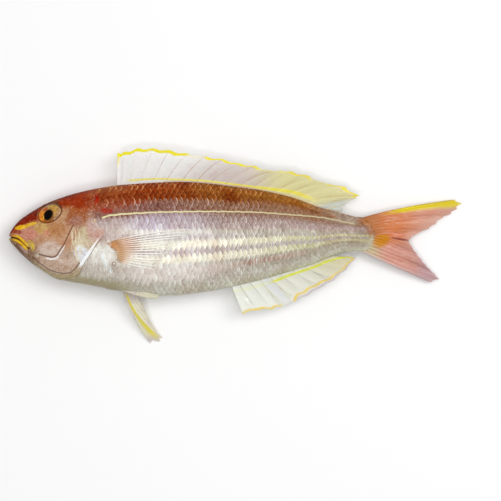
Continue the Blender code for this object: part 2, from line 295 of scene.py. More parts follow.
class Paint:
    """A material in the making, with the few ways of mixing that fish skin needs."""

    def __init__(self, name, **fixed):
        self.material = bpy.data.materials.new(name)
        self.material.use_nodes = True
        self.tree = self.material.node_tree
        self.shader = self.tree.nodes["Principled BSDF"]
        for socket, value in fixed.items():
            self.shader.inputs[socket.replace("_", " ")].default_value = value

    def node(self, kind, settings, inputs, output=0):
        """Any node: its settings first, then the value or the link of each of its inputs."""
        made = self.tree.nodes.new(kind)
        for key, value in settings.items():
            setattr(made, key, value)
        for key, value in inputs.items():
            if isinstance(value, Sock):
                self.tree.links.new(value.socket, made.inputs[key])
            else:
                made.inputs[key].default_value = value
        return Sock(self, made.outputs[output])

    def mix(self, first, second, share, kind="MIX"):
        """A colour on the way from the first to the second."""
        settings = {"data_type": "RGBA", "blend_type": kind, "clamp_factor": True}
        inputs = {MIX_SHARE: share, MIX_FIRST: first, MIX_SECOND: second}
        return self.node("ShaderNodeMix", settings, inputs, MIX_COLOUR)

    def times(self, first, second, share=1.0):
        """The first colour darkened by the second."""
        return self.mix(first, second, share, "MULTIPLY")

    def coats(self, colour, *coats):
        """A colour with others laid over it one after another, each with its share."""
        for coat, share in coats:
            colour = self.mix(colour, coat, share)
        return colour

    def rise(self, value, low, high):
        """0 below low, 1 above high, and an S curve between. The other way round if low > high."""
        if not isinstance(low, Sock) and low > high:
            return 1 - self.rise(value, high, low)
        settings = {"interpolation_type": "SMOOTHSTEP"}
        return self.node("ShaderNodeMapRange", settings, {0: value, 1: low, 2: high})

    def band(self, value, middle, half, soft=0.5):
        """1 near the middle and 0 beyond half away from it."""
        return 1 - self.rise(abs(value - middle), half * (1 - soft), half)

    def split(self, vector):
        """The first two numbers of a vector."""
        first = self.node("ShaderNodeSeparateXYZ", {}, {0: vector})
        return first, Sock(self, first.socket.node.outputs[1])

    def place(self):
        """Station and height in millimetres, from where the surface lies on the table."""
        x, y = self.split(self.node("ShaderNodeTexCoord", {}, {}, "Object"))
        return x * 1000 + TOTAL_LENGTH / 2, y * 1000

    def map(self, name):
        """The two numbers of one of the piece's own UV maps."""
        return self.split(self.node("ShaderNodeUVMap", {"uv_map": name}, {}))

    def spot(self, station, height, centre, size, turn=0.0, soft=0.6):
        """1 inside an ellipse around a centre, turned by an angle in degrees, and 0 outside."""
        x, y = turned(station - centre[0], height - centre[1], turn)
        return self.rise((x / size[0]) ** 2 + (y / size[1]) ** 2, 1 + soft, 1 - soft)

    def noise(self, scale, detail=2.0, stretch=(1.0, 1.0, 1.0), rough=0.5):
        """Fractal noise around 0.5, over places in metres, stretched along the axes."""
        spot = self.node("ShaderNodeTexCoord", {}, {}, "Object")
        spot = self.node("ShaderNodeVectorMath", {"operation": "MULTIPLY"}, {0: spot, 1: stretch})
        inputs = {"Vector": spot, "Scale": scale, "Detail": detail, "Roughness": rough}
        return self.node("ShaderNodeTexNoise", {}, inputs)

    def waves(self, value, scale):
        """Even waves along a value: growth rings on a scale, or the joints of a ray."""
        settings = {"wave_type": "BANDS", "bands_direction": "X"}
        return self.node("ShaderNodeTexWave", settings, {"Vector": value, "Scale": scale})

    def finish(self, **inputs):
        """Links what varies to the shader. height, with a depth in millimetres, makes a Bump
        for the Normal."""
        height, depth = inputs.pop("height", None), inputs.pop("depth", 0.1)
        if height is not None:
            bump = {"Height": height, "Distance": depth * 0.001, "Strength": 1.0}
            inputs["Normal"] = self.node("ShaderNodeBump", {}, bump)
        for socket, value in inputs.items():
            self.tree.links.new(value.socket, self.shader.inputs[socket.replace("_", " ")])
        return self.material


GILL_EDGE = (
    (0.0, 60.6), (0.08, 59.6), (0.16, 58.3), (0.23, 57.7), (0.29, 58.3), (0.34, 59.3),
    (0.40, 59.8), (0.46, 59.2), (0.52, 56.6), (0.58, 53.4), (0.65, 50.3), (0.70, 47.8),
    (0.745, 45.9), (0.785, 45.0), (0.83, 43.6), (0.868, 41.4), (0.89, 37.6), (0.905, 33.5),
    (1.0, 31.0),
)
GILL_OPEN = 0.43
THROAT_FADE = 88, 62
SKIN_SUNK, SUNK_UNDER_HEAD = 0.25, 1.9
RUST_FRONT, RUST_REAR = rgb(158, 60, 4), rgb(162, 106, 34)
MAUVE_BROWN, MAUVE_BROWN_REAR = rgb(146, 100, 86), rgb(150, 110, 80)
LILAC_GREY, LILAC_REAR = rgb(200, 190, 206), rgb(170, 149, 142)
SILVER, SILVER_REAR = rgb(232, 234, 226), rgb(170, 164, 144)
LILAC, PINK = rgb(188, 178, 182), rgb(200, 188, 190)
CREAM, OLIVE_CREAM = rgb(248, 249, 230), rgb(196, 194, 152)
BELLY_PALE, RUSTY_PINK = rgb(232, 227, 218), rgb(178, 152, 134)
BELLY_GREY, BELLY_OLIVE = rgb(200, 198, 182), rgb(206, 208, 186)


def flank_colour(paint, along, down):
    """The bands of the flank, from rust on the back to olive grey on the belly. Each fades to
    a duller colour towards the tail. The root of the tail fin is orange brown above and pale
    olive below."""
    rise, band, mix = paint.rise, paint.band, paint.mix
    front, begun = rise(along, 0.36, 0.28), rise(along, 0.28, 0.37)
    rear, middle, late = rise(along, 0.38, 0.62), rise(along, 0.42, 0.70), rise(along, 0.48, 0.82)
    upper = down - 0.055 * rise(along, 0.42, 0.28)
    rust = paint.coats(
        RUST_FRONT, (RUST_REAR, rear), (rgb(170, 154, 134), rise(along, 0.78, 0.91) * 0.9),
        (rgb(118, 44, 4), band(down, 0.115, 0.045) * 0.5),
        (rgb(166, 98, 58), front * rise(down, 0.10, 0.04) * 0.8),
    )
    silver = paint.coats(
        SILVER, (SILVER_REAR, middle), (rgb(160, 150, 128), rise(along, 0.80, 0.92))
    )
    cream = mix(CREAM, OLIVE_CREAM, late)
    belly = paint.coats(rgb(206, 200, 188), (BELLY_PALE, begun), (rgb(180, 174, 152), late))
    rusty = rise(along, 0.56, 0.66) * rise(along, 0.86, 0.74)
    shoulder = rise(along, 0.38, 0.29) * rise(down, 0.28, 0.36)
    pale = rise(along, 0.83, 0.89) * rise(down, 0.32, 0.20) * rise(along, 0.96, 0.93)
    root = mix(rgb(186, 122, 74), rgb(202, 194, 162), rise(down, 0.40, 0.68))
    return paint.coats(
        rust,
        (mix(MAUVE_BROWN, MAUVE_BROWN_REAR, rear), rise(upper + 0.04 * late, 0.13, 0.18)),
        (rgb(160, 82, 50), front * rise(down, 0.26, 0.20) * 0.8 * rise(down, 0.10, 0.14)),
        (mix(LILAC_GREY, LILAC_REAR, rear), rise(upper - 0.015 * middle, 0.235, 0.32)),
        (silver, rise(down - 0.025 * middle, 0.395, 0.435)),
        (LILAC, band(down, 0.487, 0.038) * (0.9 - 0.7 * middle)),
        (rgb(194, 174, 164), shoulder * rise(down, 0.62, 0.52) * 0.8),
        (cream, band(down, 0.548, 0.040) * begun),
        (mix(PINK, rgb(176, 168, 158), middle), band(down, 0.617, 0.038) * begun),
        (cream, band(down, 0.690, 0.046) * begun),
        (mix(belly, RUSTY_PINK, rusty), rise(down, 0.735, 0.765)),
        (mix(belly, rgb(182, 176, 158), middle), rise(down, 0.80, 0.84)),
        (BELLY_GREY, rise(down, 0.85, 0.91)),
        (mix(BELLY_OLIVE, rgb(206, 209, 176), late), rise(down, 0.91, 0.98)),
        (rgb(176, 162, 146), pale * 0.9),
        (root, rise(along + 0.02 * rise(down, 0.3, 0.1), 0.962, 0.995)),
    )


def make_trunk():
    """Closed rings round the body, each down the left side and up the right one. They lie a
    little below the scales, and deeper under the head."""
    rows, half = 220, 70
    station = np.linspace(8.0, FLESH_LENGTH - 0.2, rows)[:, None]
    down = np.linspace(0, 1, half)
    share = np.concatenate([down, down[-2:0:-1]])[None]
    side = np.concatenate([np.ones(half), -np.ones(half - 2)])[None]
    thin = np.clip(half_width(station, 7.0) / 2.0, 0.05, 1)
    covered = np.clip((through(GILL_EDGE, share) - 2.5 - station) / 4, 0, 1)
    points = above_skin(station, share, side, -SKIN_SUNK * thin - SUNK_UNDER_HEAD * covered)
    poles = [[7.0, 2.0, 0.0], [FLESH_LENGTH, 7.0, 0.0]]
    points = np.concatenate([points.reshape(-1, 3), poles])
    quads, triangles = ring_faces(rows, share.size)
    return make_piece("trunk", points, quads, triangles, {"bands": bands_of(points)})


def trunk_looks():
    """The colours of the flank, a little darker, and olive on the throat."""
    paint = Paint("wet_skin", IOR=1.4, Specular_IOR_Level=0.35, Coat_Roughness=0.15)
    along, down = paint.map("bands")
    station, _ = paint.place()
    fine = paint.noise(900, 3)
    throat = paint.rise(down, 0.88, 0.96) * paint.rise(station, *THROAT_FADE)
    colour = paint.times(flank_colour(paint, along, down), rgb(232, 226, 222))
    colour = paint.mix(colour, rgb(166, 154, 118), throat * 0.9)
    return paint.finish(
        Base_Color=paint.times(colour, rgb(222, 214, 205), fine), Roughness=0.3 + fine * 0.2,
        Coat_Weight=0.15 + fine * 0.15, height=fine, depth=0.15,
    )


trunk = make_trunk()
wear(trunk, trunk_looks())
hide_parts("fish")


# The scales: thin, round-edged plates of bone in slanting rows, each covering the front half of
# the next ones. They start on the nape and behind the gill cover. One side is one joined mesh.

SCALE_PITCH_FRONT, SCALE_PITCH_REAR = 3.5, 2.7
SCALE_ROWS = 21
SCALE_LENGTH, SCALE_ROOT, SCALE_THICK = 1.95, 0.62, 0.08
PORE_PLACE = (65.3, -10.9)
FIRST_SCALE, LAST_SCALE = 32.0, 225.0


def sheet_faces(rows, columns):
    """Faces of a thin closed sheet: a front grid, and behind it a back grid that shares the
    front's border. Points are the front grid, then the back grid without its border."""
    front = np.arange(rows * columns).reshape(rows, columns)
    back = front.copy()
    inner = (rows - 2) * (columns - 2)
    back[1:-1, 1:-1] = rows * columns + np.arange(inner).reshape(rows - 2, columns - 2)
    grids = [
        np.stack([g[:-1, :-1], g[:-1, 1:], g[1:, 1:], g[1:, :-1]], axis=-1).reshape(-1, 4)
        for g in (front, back)
    ]
    return np.concatenate([grids[0], grids[1][:, ::-1]])


def both_faces(front, back):
    """Joins values on a front grid with those on a back grid that shares its border. The grids
    may come in a stack, one for each of many sheets."""
    lead = front.shape[:-3]
    inner = back[..., 1:-1, 1:-1, :]
    return np.concatenate(
        [front.reshape(*lead, -1, front.shape[-1]), inner.reshape(*lead, -1, back.shape[-1])],
        axis=-2,
    )


def scale_centres():
    """Station and share down the side of each scale. The pitch shrinks evenly to the rear, and
    every other row is half a pitch further back."""
    count = int(2 * (LAST_SCALE - FIRST_SCALE) / (SCALE_PITCH_FRONT + SCALE_PITCH_REAR))
    ratio = SCALE_PITCH_REAR / SCALE_PITCH_FRONT

    def at(place):
        t = place / count
        return FIRST_SCALE + (LAST_SCALE - FIRST_SCALE) * (t + (1 - ratio) * t * (1 - t) / 2)

    row, place = np.meshgrid(np.arange(SCALE_ROWS), np.arange(count), indexing="ij")
    station = at(place + 0.5 * (row % 2) + 0.18 * row / SCALE_ROWS)
    share = (row + 0.55) / (SCALE_ROWS + 0.1)
    return station.ravel(), share.ravel()


def make_scales(name, side, seed):
    """Each plate is a grid of p across and q from front to rear. Its rear edge is an arc, its
    crown is bowed, and it rises from below the one in front, with its own small tilt."""
    station, share = scale_centres()
    keep = station > through(GILL_EDGE, share) - np.where(share < GILL_OPEN, 6.0, 3.0)
    keep &= (share < 0.9) | (station > 62)
    station, share = station[keep], share[keep]
    chance = np.random.default_rng(seed)
    count = len(station)
    tilt = chance.normal(0, 0.035, (count, 2))
    tone = chance.random((count, 2))
    rows, columns = 6, 7
    q, p = np.meshgrid(np.linspace(0, 1, rows), np.linspace(-1, 1, columns), indexing="ij")
    q, p = q[None], p[None]
    pitches = (FIRST_SCALE, SCALE_PITCH_FRONT), (LAST_SCALE, SCALE_PITCH_REAR)
    length = SCALE_LENGTH * through(pitches, station)[:, None, None]
    s = station[:, None, None] + length * (q - SCALE_ROOT) * (1 - 0.46 * abs(p) ** 1.4 * q)
    g = share[:, None, None] + p * (1.02 - 0.30 * q**3) / SCALE_ROWS
    rise = -0.08 + 0.20 * q - 0.06 * p**2
    rise = rise + tilt[:, 0, None, None] * p + tilt[:, 1, None, None] * (q - 0.5)
    rise = rise * np.clip((FLESH_LENGTH + 2 - s) / 12, 0, 1)
    front = above_skin(s, g, side, rise)
    back = above_skin(s, g, side, rise - SCALE_THICK)
    points = both_faces(front, back).reshape(-1, 3)
    own = bands_of(on_skin(station, share, side))[:, None, None, :]
    bands = 0.45 * bands_of(front) + 0.55 * own
    local, tones = np.stack([p, q], axis=-1), tone[:, None, None, :]
    maps = {}
    for key, values in (("bands", bands), ("plate", local), ("tone", tones)):
        values = np.broadcast_to(values, bands.shape)
        maps[key] = both_faces(values, values)
    each = rows * columns + (rows - 2) * (columns - 2)
    quads = repeated(sheet_faces(rows, columns), count, each)
    return make_piece(name, points, quads, np.empty((0, 3), int), maps)


def scale_looks():
    """Bands of the flank, with a light rear edge and a darker root on each plate, and a silver
    sheen that changes from plate to plate. The back is dull, the flank shines."""
    paint = Paint("scales", IOR=1.45, Coat_Roughness=0.12, Specular_IOR_Level=0.06)
    rise, band, mix = paint.rise, paint.band, paint.mix
    along, down = paint.map("bands")
    across, behind = paint.map("plate")
    tone, gloss = paint.map("tone")
    here = station, height = paint.place()
    rust, mauve, silver = rise(down, 0.2, 0.14), rise(down, 0.36, 0.27), rise(down, 0.28, 0.45)
    front, fine = rise(station, 86, 64), 0.3 + 0.7 * rise(station, 64, 84)
    calm = 1 - 0.6 * rise(station, 140, 185) - 0.35 * rise(station, 206, 218)
    dark = mix(rgb(190, 160, 144), rgb(226, 216, 220), silver)
    root = rise(behind - 0.25 * abs(across), 0.72, 0.45)
    colour = paint.times(flank_colour(paint, along, down), dark, root * fine * calm * 0.7)

    # The pale rear rim of each plate: crescents of colour on the rusty back and in the cream
    # bands, and on the silver flank partly a painted highlight along the edge.
    creamy = band(down, 0.548, 0.055) + band(down, 0.690, 0.055)
    light = paint.coats(
        rgb(250, 250, 242), (rgb(206, 184, 180), mauve), (rgb(214, 148, 92), rust),
        (rgb(255, 255, 228), creamy),
    )
    rim = rise(behind + 0.1 * across**2, 0.80, 0.93)
    broken = tone * rise(paint.noise(260, 2), 0.40, 0.58)
    crest = tone * (rise(down, 0.075, 0.03) + rise(down, 0.13, 0.17))
    pale = (1 - rust) * (0.12 + 0.4 * broken + 0.45 * creamy)
    pale = pale + rust * (0.05 + 0.22 * broken + (0.6 + 0.3 * front) * crest)
    colour = mix(colour, light, rim * pale * (fine + rust) * calm)

    grain, bars = paint.noise(650, 3, rough=0.6), paint.noise(420, 2, (3.0, 0.35, 1.0))
    grey = rise(grain, 0.52, 0.62) * (0.2 + 0.4 * rust)
    colour = paint.times(colour, rgb(176, 140, 124), grey)
    speck = mix(rgb(255, 253, 250), rgb(206, 128, 66), rust)
    specks = rise(grain, 0.44, 0.36) * (0.15 + 0.1 * rust + 0.3 * rust * front)
    gleam = silver * rise(bars, 0.52, 0.66) * calm * 0.45
    colour = paint.coats(colour, (speck, specks), (rgb(250, 248, 244), gleam))
    colour = paint.times(colour, mix(rgb(236, 230, 228), rgb(255, 255, 255), tone))
    blotch = mix(rgb(244, 236, 232), rgb(220, 170, 120), rust)
    colour = paint.times(colour, blotch, rise(paint.noise(60, 3), 0.45, 0.65))

    # Painted highlight: two bluish white glint streaks on the chest scales.
    chest_glint = paint.spot(*here, (59.4, -9.6), (1.2, 5.8), 20)
    chest_glint = chest_glint + paint.spot(*here, (63, -14.2), (1.1, 2.8), 25)
    throat = rise(down, 0.87, 0.96) * rise(station, *THROAT_FADE)
    bent = station + (grain - 0.5) * 4, height + (grain - 0.5) * 3
    torn = 0.3 + 0.7 * rise(grain, 0.56, 0.46)
    blood = rgb(170, 24, 8)
    colour = paint.coats(
        colour,
        (rgb(232, 240, 242), chest_glint * (0.25 + 0.5 * rise(bars, 0.46, 0.56))),
        (rgb(160, 148, 112), throat * 0.9),
        (blood, paint.spot(*bent, (60.5, 21.4), (4.2, 1.6), -6) * 0.9 * torn),
        (blood, paint.spot(*bent, (54.4, 28.6), (1.5, 3.6), -6) * 0.85 * torn),
        (rgb(132, 104, 82), paint.spot(*here, PORE_PLACE, (1.25, 1.25), 0, 0.4) * 0.75),
    )
    return paint.finish(
        Base_Color=colour, Roughness=0.5 - 0.16 * gloss * silver,
        Metallic=silver * (0.02 + 0.10 * gloss), Coat_Weight=silver * (0.1 + 0.22 * gloss),
        height=paint.waves(behind, 3.5), depth=0.02,
    )


scale_material = scale_looks()
for word, side, seed in (("left", 1, 3), ("right", -1, 4)):
    scales = make_scales(f"scales_{word}", side, seed)
    wear(scales, scale_material)


# The head: bare skin over bone, drawn over the front of the trunk. Behind it ends in the free
# edge of the gill covers, which stand off the flank. The cheek has its own bony edge, and the
# eyes sit in rimmed sockets.

EYE_PLACE, EYE_HALF, EYE_TURN = (25.5, 20.3), (7.9, 5.4), 29.0
CHEEK_EDGE = (
    (42.5, 17.0), (40.4, 13.6), (38.8, 10.2), (37.3, 7.4), (36.0, 4.3), (34.8, 1.5), (32.9, -1.2),
    (31.4, -3.4), (30.3, -5.3), (29.0, -6.4), (26.7, -6.8), (24.2, -6.3), (19.0, -5.0),
)
JAW_EDGE = (
    (15.0, -7.0), (19.9, -11.2), (24.9, -14.6), (29.8, -16.4), (34.8, -17.0), (38.5, -16.4),
    (41.5, -13.8), (44.0, -10.5),
)
MOUTH_LINE = (
    (-0.5, 5.6), (1.0, 5.3), (2.5, 5.0), (4.5, 4.7), (6.4, 3.8), (8.0, 2.6), (9.4, 1.2),
    (11.3, -0.4), (12.4, -1.4),
)


def near_line(points, line):
    """The distance of each point from a line of straight stretches. It is negative on the left
    of the way along the line."""
    line = np.array(line, float)
    start, step = line[:-1], np.diff(line, axis=0)
    gap = points[..., None, :] - start
    t = np.clip((gap * step).sum(-1) / (step**2).sum(-1), 0, 1)
    away = gap - t[..., None] * step
    distance = np.linalg.norm(away, axis=-1)
    turn = step[:, 0] * away[..., 1] - step[:, 1] * away[..., 0]
    nearest = distance.argmin(-1)[..., None]
    sign = np.sign(np.take_along_axis(turn, nearest, -1))
    return (np.take_along_axis(distance, nearest, -1) * -sign)[..., 0]


def swell(distance, width):
    return np.exp(-((distance / width) ** 2))


def in_eye(place):
    """Where a place is along and across the eye, with its rim at a distance of 1."""
    x, y = turned(place[..., 0] - EYE_PLACE[0], place[..., 1] - EYE_PLACE[1], EYE_TURN)
    return x / EYE_HALF[0], y / EYE_HALF[1]


def head_relief(place, share):
    """How far the head stands off the trunk's outline, from the distance to each feature."""
    inside = near_line(place, CHEEK_EDGE)
    plate = 1 / (1 + np.exp(-inside / 0.2)) * np.exp(-np.clip(inside, 0, None) / 6)
    relief = 0.2 + 0.5 * plate - 0.3 * swell(inside + 0.8, 0.7)
    ring = np.hypot(*in_eye(place))
    clear = np.clip((share - 0.02) / 0.05, 0, 1)
    relief += clear * (0.35 * swell(ring - 1.16, 0.1) - 0.3 * swell(ring - 1.03, 0.05))
    relief -= 2.4 * clear / (1 + np.exp((ring - 0.95) / 0.02))
    tip = np.clip(1 - place[..., 0] / 3, 0, 1)
    relief -= (0.9 + 0.9 * tip) * swell(near_line(place, MOUTH_LINE), 0.5)
    jaw = np.clip((place[..., 0] - 2.0) / 6, 0, 1)
    maxilla = near_line(place, ((5.0, 8.6), (10.0, 6.0), (15.0, 2.2), (16.6, -0.8), (15.4, -3.0)))
    relief -= 0.3 * swell(maxilla, 0.45) * jaw
    below = near_line(place, JAW_EDGE)
    for fold, deep in ((0.0, 0.4), (1.5, 0.25), (2.8, 0.2)):
        relief -= deep * swell(below - fold, 0.35)
    relief += 0.2 * swell(below + 0.8, 0.5)
    for centre in ((16.6, 18.9), (19.0, 20.3)):
        distance = np.hypot(place[..., 0] - centre[0], place[..., 1] - centre[1])
        relief += 0.2 * swell(distance - 0.9, 0.35) - 0.5 * swell(distance, 0.45)
    return relief


def make_head():
    """Rings round the head from the snout to the gill edge, then a lip of a few rings that
    turns in under it, and a pole deep inside. The left side has more points."""
    rows, left, right = 260, 200, 70
    down_left, down_right = np.linspace(0, 1, left), np.linspace(1, 0, right)[1:-1]
    share = np.concatenate([down_left, down_right])
    side = np.concatenate([np.ones(left), -np.ones(right - 2)])
    end = through(GILL_EDGE, share)
    station = np.linspace(0.002, 1, rows)[:, None] ** 1.12 * end
    place = on_skin(station, share, side)[..., :2]
    loose = 1 / (1 + np.exp(-(share - GILL_OPEN) / 0.02))
    edge = np.clip((station - end + 9) / 9, 0, 1) ** 2 * np.clip((0.97 - share) / 0.07, 0, 1)
    lift = head_relief(place, share[None]) + edge * (1.5 * loose - 0.75)
    skin = above_skin(station, share, side, lift)
    turned = [
        above_skin(end + shift, share, side, lift[-1] - drop)
        for shift, drop in ((0.12, 0.12), (0.16, 0.32), (0.0, 0.55), (-1.5, 1.3), (-4.0, 2.2))
    ]
    points = np.concatenate([skin, np.array(turned)]).reshape(-1, 3)
    points = np.concatenate([points, [[-0.1, 5.9, 0.0], [20.0, 6.0, 0.0]]])
    quads, triangles = ring_faces(rows + len(turned), len(share))
    place = points[:, :2]
    shares = np.array([pair[0] for pair in GILL_EDGE])
    free_edge = on_skin(through(GILL_EDGE, shares), shares, 1.0)[:, :2]
    lines = [near_line(place, line) for line in (CHEEK_EDGE, free_edge, JAW_EDGE, MOUTH_LINE)]
    maps = {
        "bands": bands_of(points),
        "edges": np.stack([lines[0], abs(lines[1])], axis=-1),
        "folds": np.stack([lines[2], abs(lines[3])], axis=-1),
    }
    return make_piece("head", points, quads, triangles, maps, 0.3)


HEAD_DABS = (
    ((194, 150, 116), (30, 8), (14, 10), 0, 0.9),
    ((200, 162, 150), (54, 9.3), (7, 8), 0, 0.9),
    ((202, 188, 152), (46, 4.3), (3.8, 9), 0, 0.9),
    ((206, 192, 164), (48, -2), (7, 8), 40, 0.7),
    ((196, 170, 148), (29, -11), (15, 6), -12, 0.9),
    ((210, 192, 178), (26, -2.2), (7.2, 4.8), 0, 0.9),
    ((158, 88, 46), (42, 19), (8, 7), -20, 0.9),
    ((170, 124, 108), (42.5, 15), (4.4, 3.4), 10, 0.7),
    ((180, 126, 76), (29, 10.5), (6.5, 4.4), 0, 0.9),
    ((200, 162, 92), (20, 11.2), (4.6, 3.8), 0, 0.9),
    ((208, 138, 116), (23.4, 8), (2.2, 2), 0, 0.6),
    ((202, 136, 116), (12.6, 7.4), (5.6, 4), -10, 0.9),
    ((186, 144, 104), (34.6, 20.4), (2.8, 5.5), -10, 0.9),
    ((156, 48, 6), (4.6, 8.8), (3.6, 1.5), -5, 0.9),
    # Painted highlight: the bluish white glint on the lower gill cover.
    ((222, 230, 240), (46, -5.6), (4.2, 6), 30, 0.95),
    ((200, 166, 70), (13.6, 0.2), (2.4, 3.6), 20, 0.85),
    ((214, 184, 60), (14.6, -1.0), (1.0, 2), 15, 0.7),
    ((166, 112, 48), (8, 0.6), (6.8, 1.1), -24, 0.8),
    # Painted highlight: a pale glint below the front end of the cheek edge.
    ((236, 228, 214), (17.6, -5.8), (1.6, 1.3), 0, 0.7),
    ((222, 200, 188), (33, -9.4), (3.8, 1.1), -25, 0.7),
    ((214, 196, 184), (40, -10), (4, 2), 20, 0.5),
)


def head_looks():
    """A base colour by the height, patches of colour over it, the rust of the crown, and lines
    that follow the bony edges. Some of the patches and lines are painted light: glints on the
    cheek, the gill cover and the nape, a glint and a shadow along the gill edge, and shade in the
    slit of the mouth. All of it is broken up by two sizes of speckle, whose pale flecks are partly
    painted glints of the wet skin."""
    paint = Paint("head_skin", IOR=1.42, Coat_Roughness=0.12, Specular_IOR_Level=0.06)
    rise, band, mix = paint.rise, paint.band, paint.mix
    along, down = paint.map("bands")
    cheek, gill = paint.map("edges")
    jaw_edge, mouth = paint.map("folds")
    here = station, height = paint.place()
    soft, fine = paint.noise(90, 3), paint.noise(420, 4, rough=0.6)
    fleck, streaks = paint.noise(1100, 2, rough=0.6), paint.noise(330, 2, (2.4, 0.35, 1.0))
    bent = station + (soft - 0.5) * 4, height + (fine - 0.5) * 3

    def dab(shade, centre, size, turn, share, softness=0.7, at=bent):
        return rgb(*shade), paint.spot(*at, centre, size, turn, softness) * share

    wave = down + (soft - 0.5) * 0.07 + (fine - 0.5) * 0.07
    wave = wave + 0.06 * rise(station, 27, 31) * rise(station, 43, 38)
    crown = mix(rgb(138, 34, 6), rgb(156, 52, 8), rise(station, 20, 34))
    crowned = rise(wave, 0.205, 0.15)
    toward = rise(gill + (soft - 0.5) * 8, 13, 5) * rise(height, 8, 14)
    top = rise(down + (fine - 0.5) * 0.02, 0.028, 0.002) * rise(station, 54, 34)
    plate = paint.spot(*here, (42.4, 0), (3.6, 11), 4)
    jaw = rise(station, 21, 14) * rise(down, 0.66, 0.8)
    throat = rise(jaw_edge, 0.4, 1.4) * rise(down, 0.8, 0.9) * rise(station, 12, 20)
    colour = paint.coats(
        rgb(178, 132, 98), (rgb(184, 160, 138), rise(height, 3, -6)),
        *[dab(*patch) for patch in HEAD_DABS],
        (rgb(168, 88, 38), rise(wave, 0.27, 0.17) * 0.9),
        (crown, crowned),
        dab((112, 74, 38), (24.5, 24.8), (6.5, 2.2), 24, 0.7),
        (flank_colour(paint, along, down), toward * 0.9),
        (rgb(92, 36, 14), top * 0.6),
        dab((242, 188, 8), (7.6, 11.5), (4.1, 1.3), 8, 1.0, 0.25, here),
        dab((230, 184, 40), (13.4, 13.3), (4.2, 1.0), 16, 0.9, 0.3, here),
        dab((148, 16, 4), (54.4, 28.6), (1.2, 3.6), 0, 0.9, 0.6),
        dab((178, 24, 10), (57.6, 21.8), (3.8, 1.6), 0, 0.9, 0.6),
        # Painted highlight: a white pink glint on the nape, beside the blood.
        dab((238, 218, 214), (56.2, 24.0), (1.6, 0.8), 0, 0.9, 0.4, here),
        dab((186, 160, 84), (56.5, 16.6), (4.2, 1.1), 25, 0.8, 0.5, here),
        dab((96, 44, 20), (17.8, 19.6), (2.6, 1.1), 28, 0.7, 0.6, here),
        dab((234, 226, 196), (42.2, 1.5), (0.45, 8), 8, 0.6, 0.8),
        dab((234, 226, 196), (40.0, 3.4), (0.45, 6.5), 12, 0.6, 0.8),
        dab((234, 226, 196), (44.4, 2.2), (0.45, 7), 4, 0.6, 0.8),
        dab((150, 136, 100), (41.2, 2.6), (0.4, 7), 10, 0.4, 0.8),
        (rgb(228, 220, 190), plate * rise(streaks, 0.49, 0.6) * 0.8),
        (rgb(136, 102, 74), jaw * 0.9),
        dab((196, 164, 160), (9.2, -2.4), (3.4, 1.1), -38, 0.7, 0.6, here),
        dab((104, 66, 48), (6.2, -1.5), (3.8, 0.8), -41, 0.8, 0.6, here),
        (rgb(100, 84, 44), rise(down, 0.95, 0.995) * 0.65),
        (rgb(170, 156, 114), throat * 0.85),
    )

    shade = mix(rgb(255, 255, 255), rgb(206, 164, 140), rise(fine, 0.46, 0.62))
    colour = paint.times(colour, shade, 0.4 + 0.35 * crowned)
    # Pale flecks: partly pale mottling of the skin, partly painted glints of the wet skin.
    pale = rise(fleck, 0.56, 0.68) * (0.3 - 0.22 * crowned) * rise(down, 0.98, 0.92)
    pale = pale + rise(fleck, 0.52, 0.62) * rise(gill, 11, 5) * (0.25 - 0.17 * crowned)
    colour = mix(colour, rgb(236, 220, 206), pale)
    colour = paint.times(colour, rgb(176, 126, 96), rise(fleck, 0.42, 0.34) * 0.3)

    below_eye = band(cheek, -0.1, 0.6) * rise(height, 14.5, 12)
    glint = paint.spot(*here, (32.6, -2.4), (1.2, 4.6), -32, 0.5)
    glint = glint + paint.spot(*here, (27.4, -7.6), (4.6, 2.0), 6, 0.5)
    # Painted highlight: a white glint line just inside the free edge of the gill cover.
    white = band(gill, 1.2, 0.5 + 0.75 * rise(height, 4, -4)) * (0.55 + 0.8 * fine)
    white = white * rise(height, 6, 2.5) * rise(height, -14.5, -11)
    # Painted shadow: a thin dark grey line just outside the free edge of the gill cover, where it
    # stands off the flank.
    opened = rise(height, 7, 4) * rise(gill, 0.4, 0.1)
    around = paint.spot(*here, EYE_PLACE, (8.4, 5.9), EYE_TURN, 0.1) * rise(height, 23, 20)
    colour = paint.coats(
        colour,
        (rgb(104, 58, 40), below_eye * 0.75),
        (rgb(240, 234, 230), glint * band(cheek, -1.3, 0.8) * 0.9),
        (rgb(250, 250, 250), white),
        (rgb(120, 110, 104), opened * 0.5),
        (rgb(84, 60, 42), band(jaw_edge, 0, 0.5) * 0.6),
        (rgb(190, 110, 64), around * 0.7),
        (rgb(92, 50, 20), paint.spot(*here, EYE_PLACE, (8.0, 5.5), EYE_TURN, 0.06)),
        # Painted shade: dark brown in the slit of the mouth between the lips.
        (rgb(84, 52, 14), rise(mouth, 0.9, 0.35) * 0.95),
    )
    silver = rise(height, 6, -8)
    return paint.finish(
        Base_Color=colour, Roughness=0.34 + fine * 0.3,
        Coat_Weight=(0.02 + 0.4 * silver) * (0.4 + soft), Metallic=silver * 0.1,
        height=fine + soft * 0.4 + fleck * 0.3, depth=0.12,
    )


head = make_head()
wear(head, head_looks())


# The eyes: flattened clear balls with a golden iris and a dark lens that bulges a little
# through the pupil, held by the rim of the socket. Each is a ball with a lens set in it.

EYE_BULGE, EYE_SUNK = 1.0, 0.2
PUPIL_PLACE, PUPIL_HALF, PUPIL_TURN = (24.7, 19.2), (3.4, 2.6), 60.0


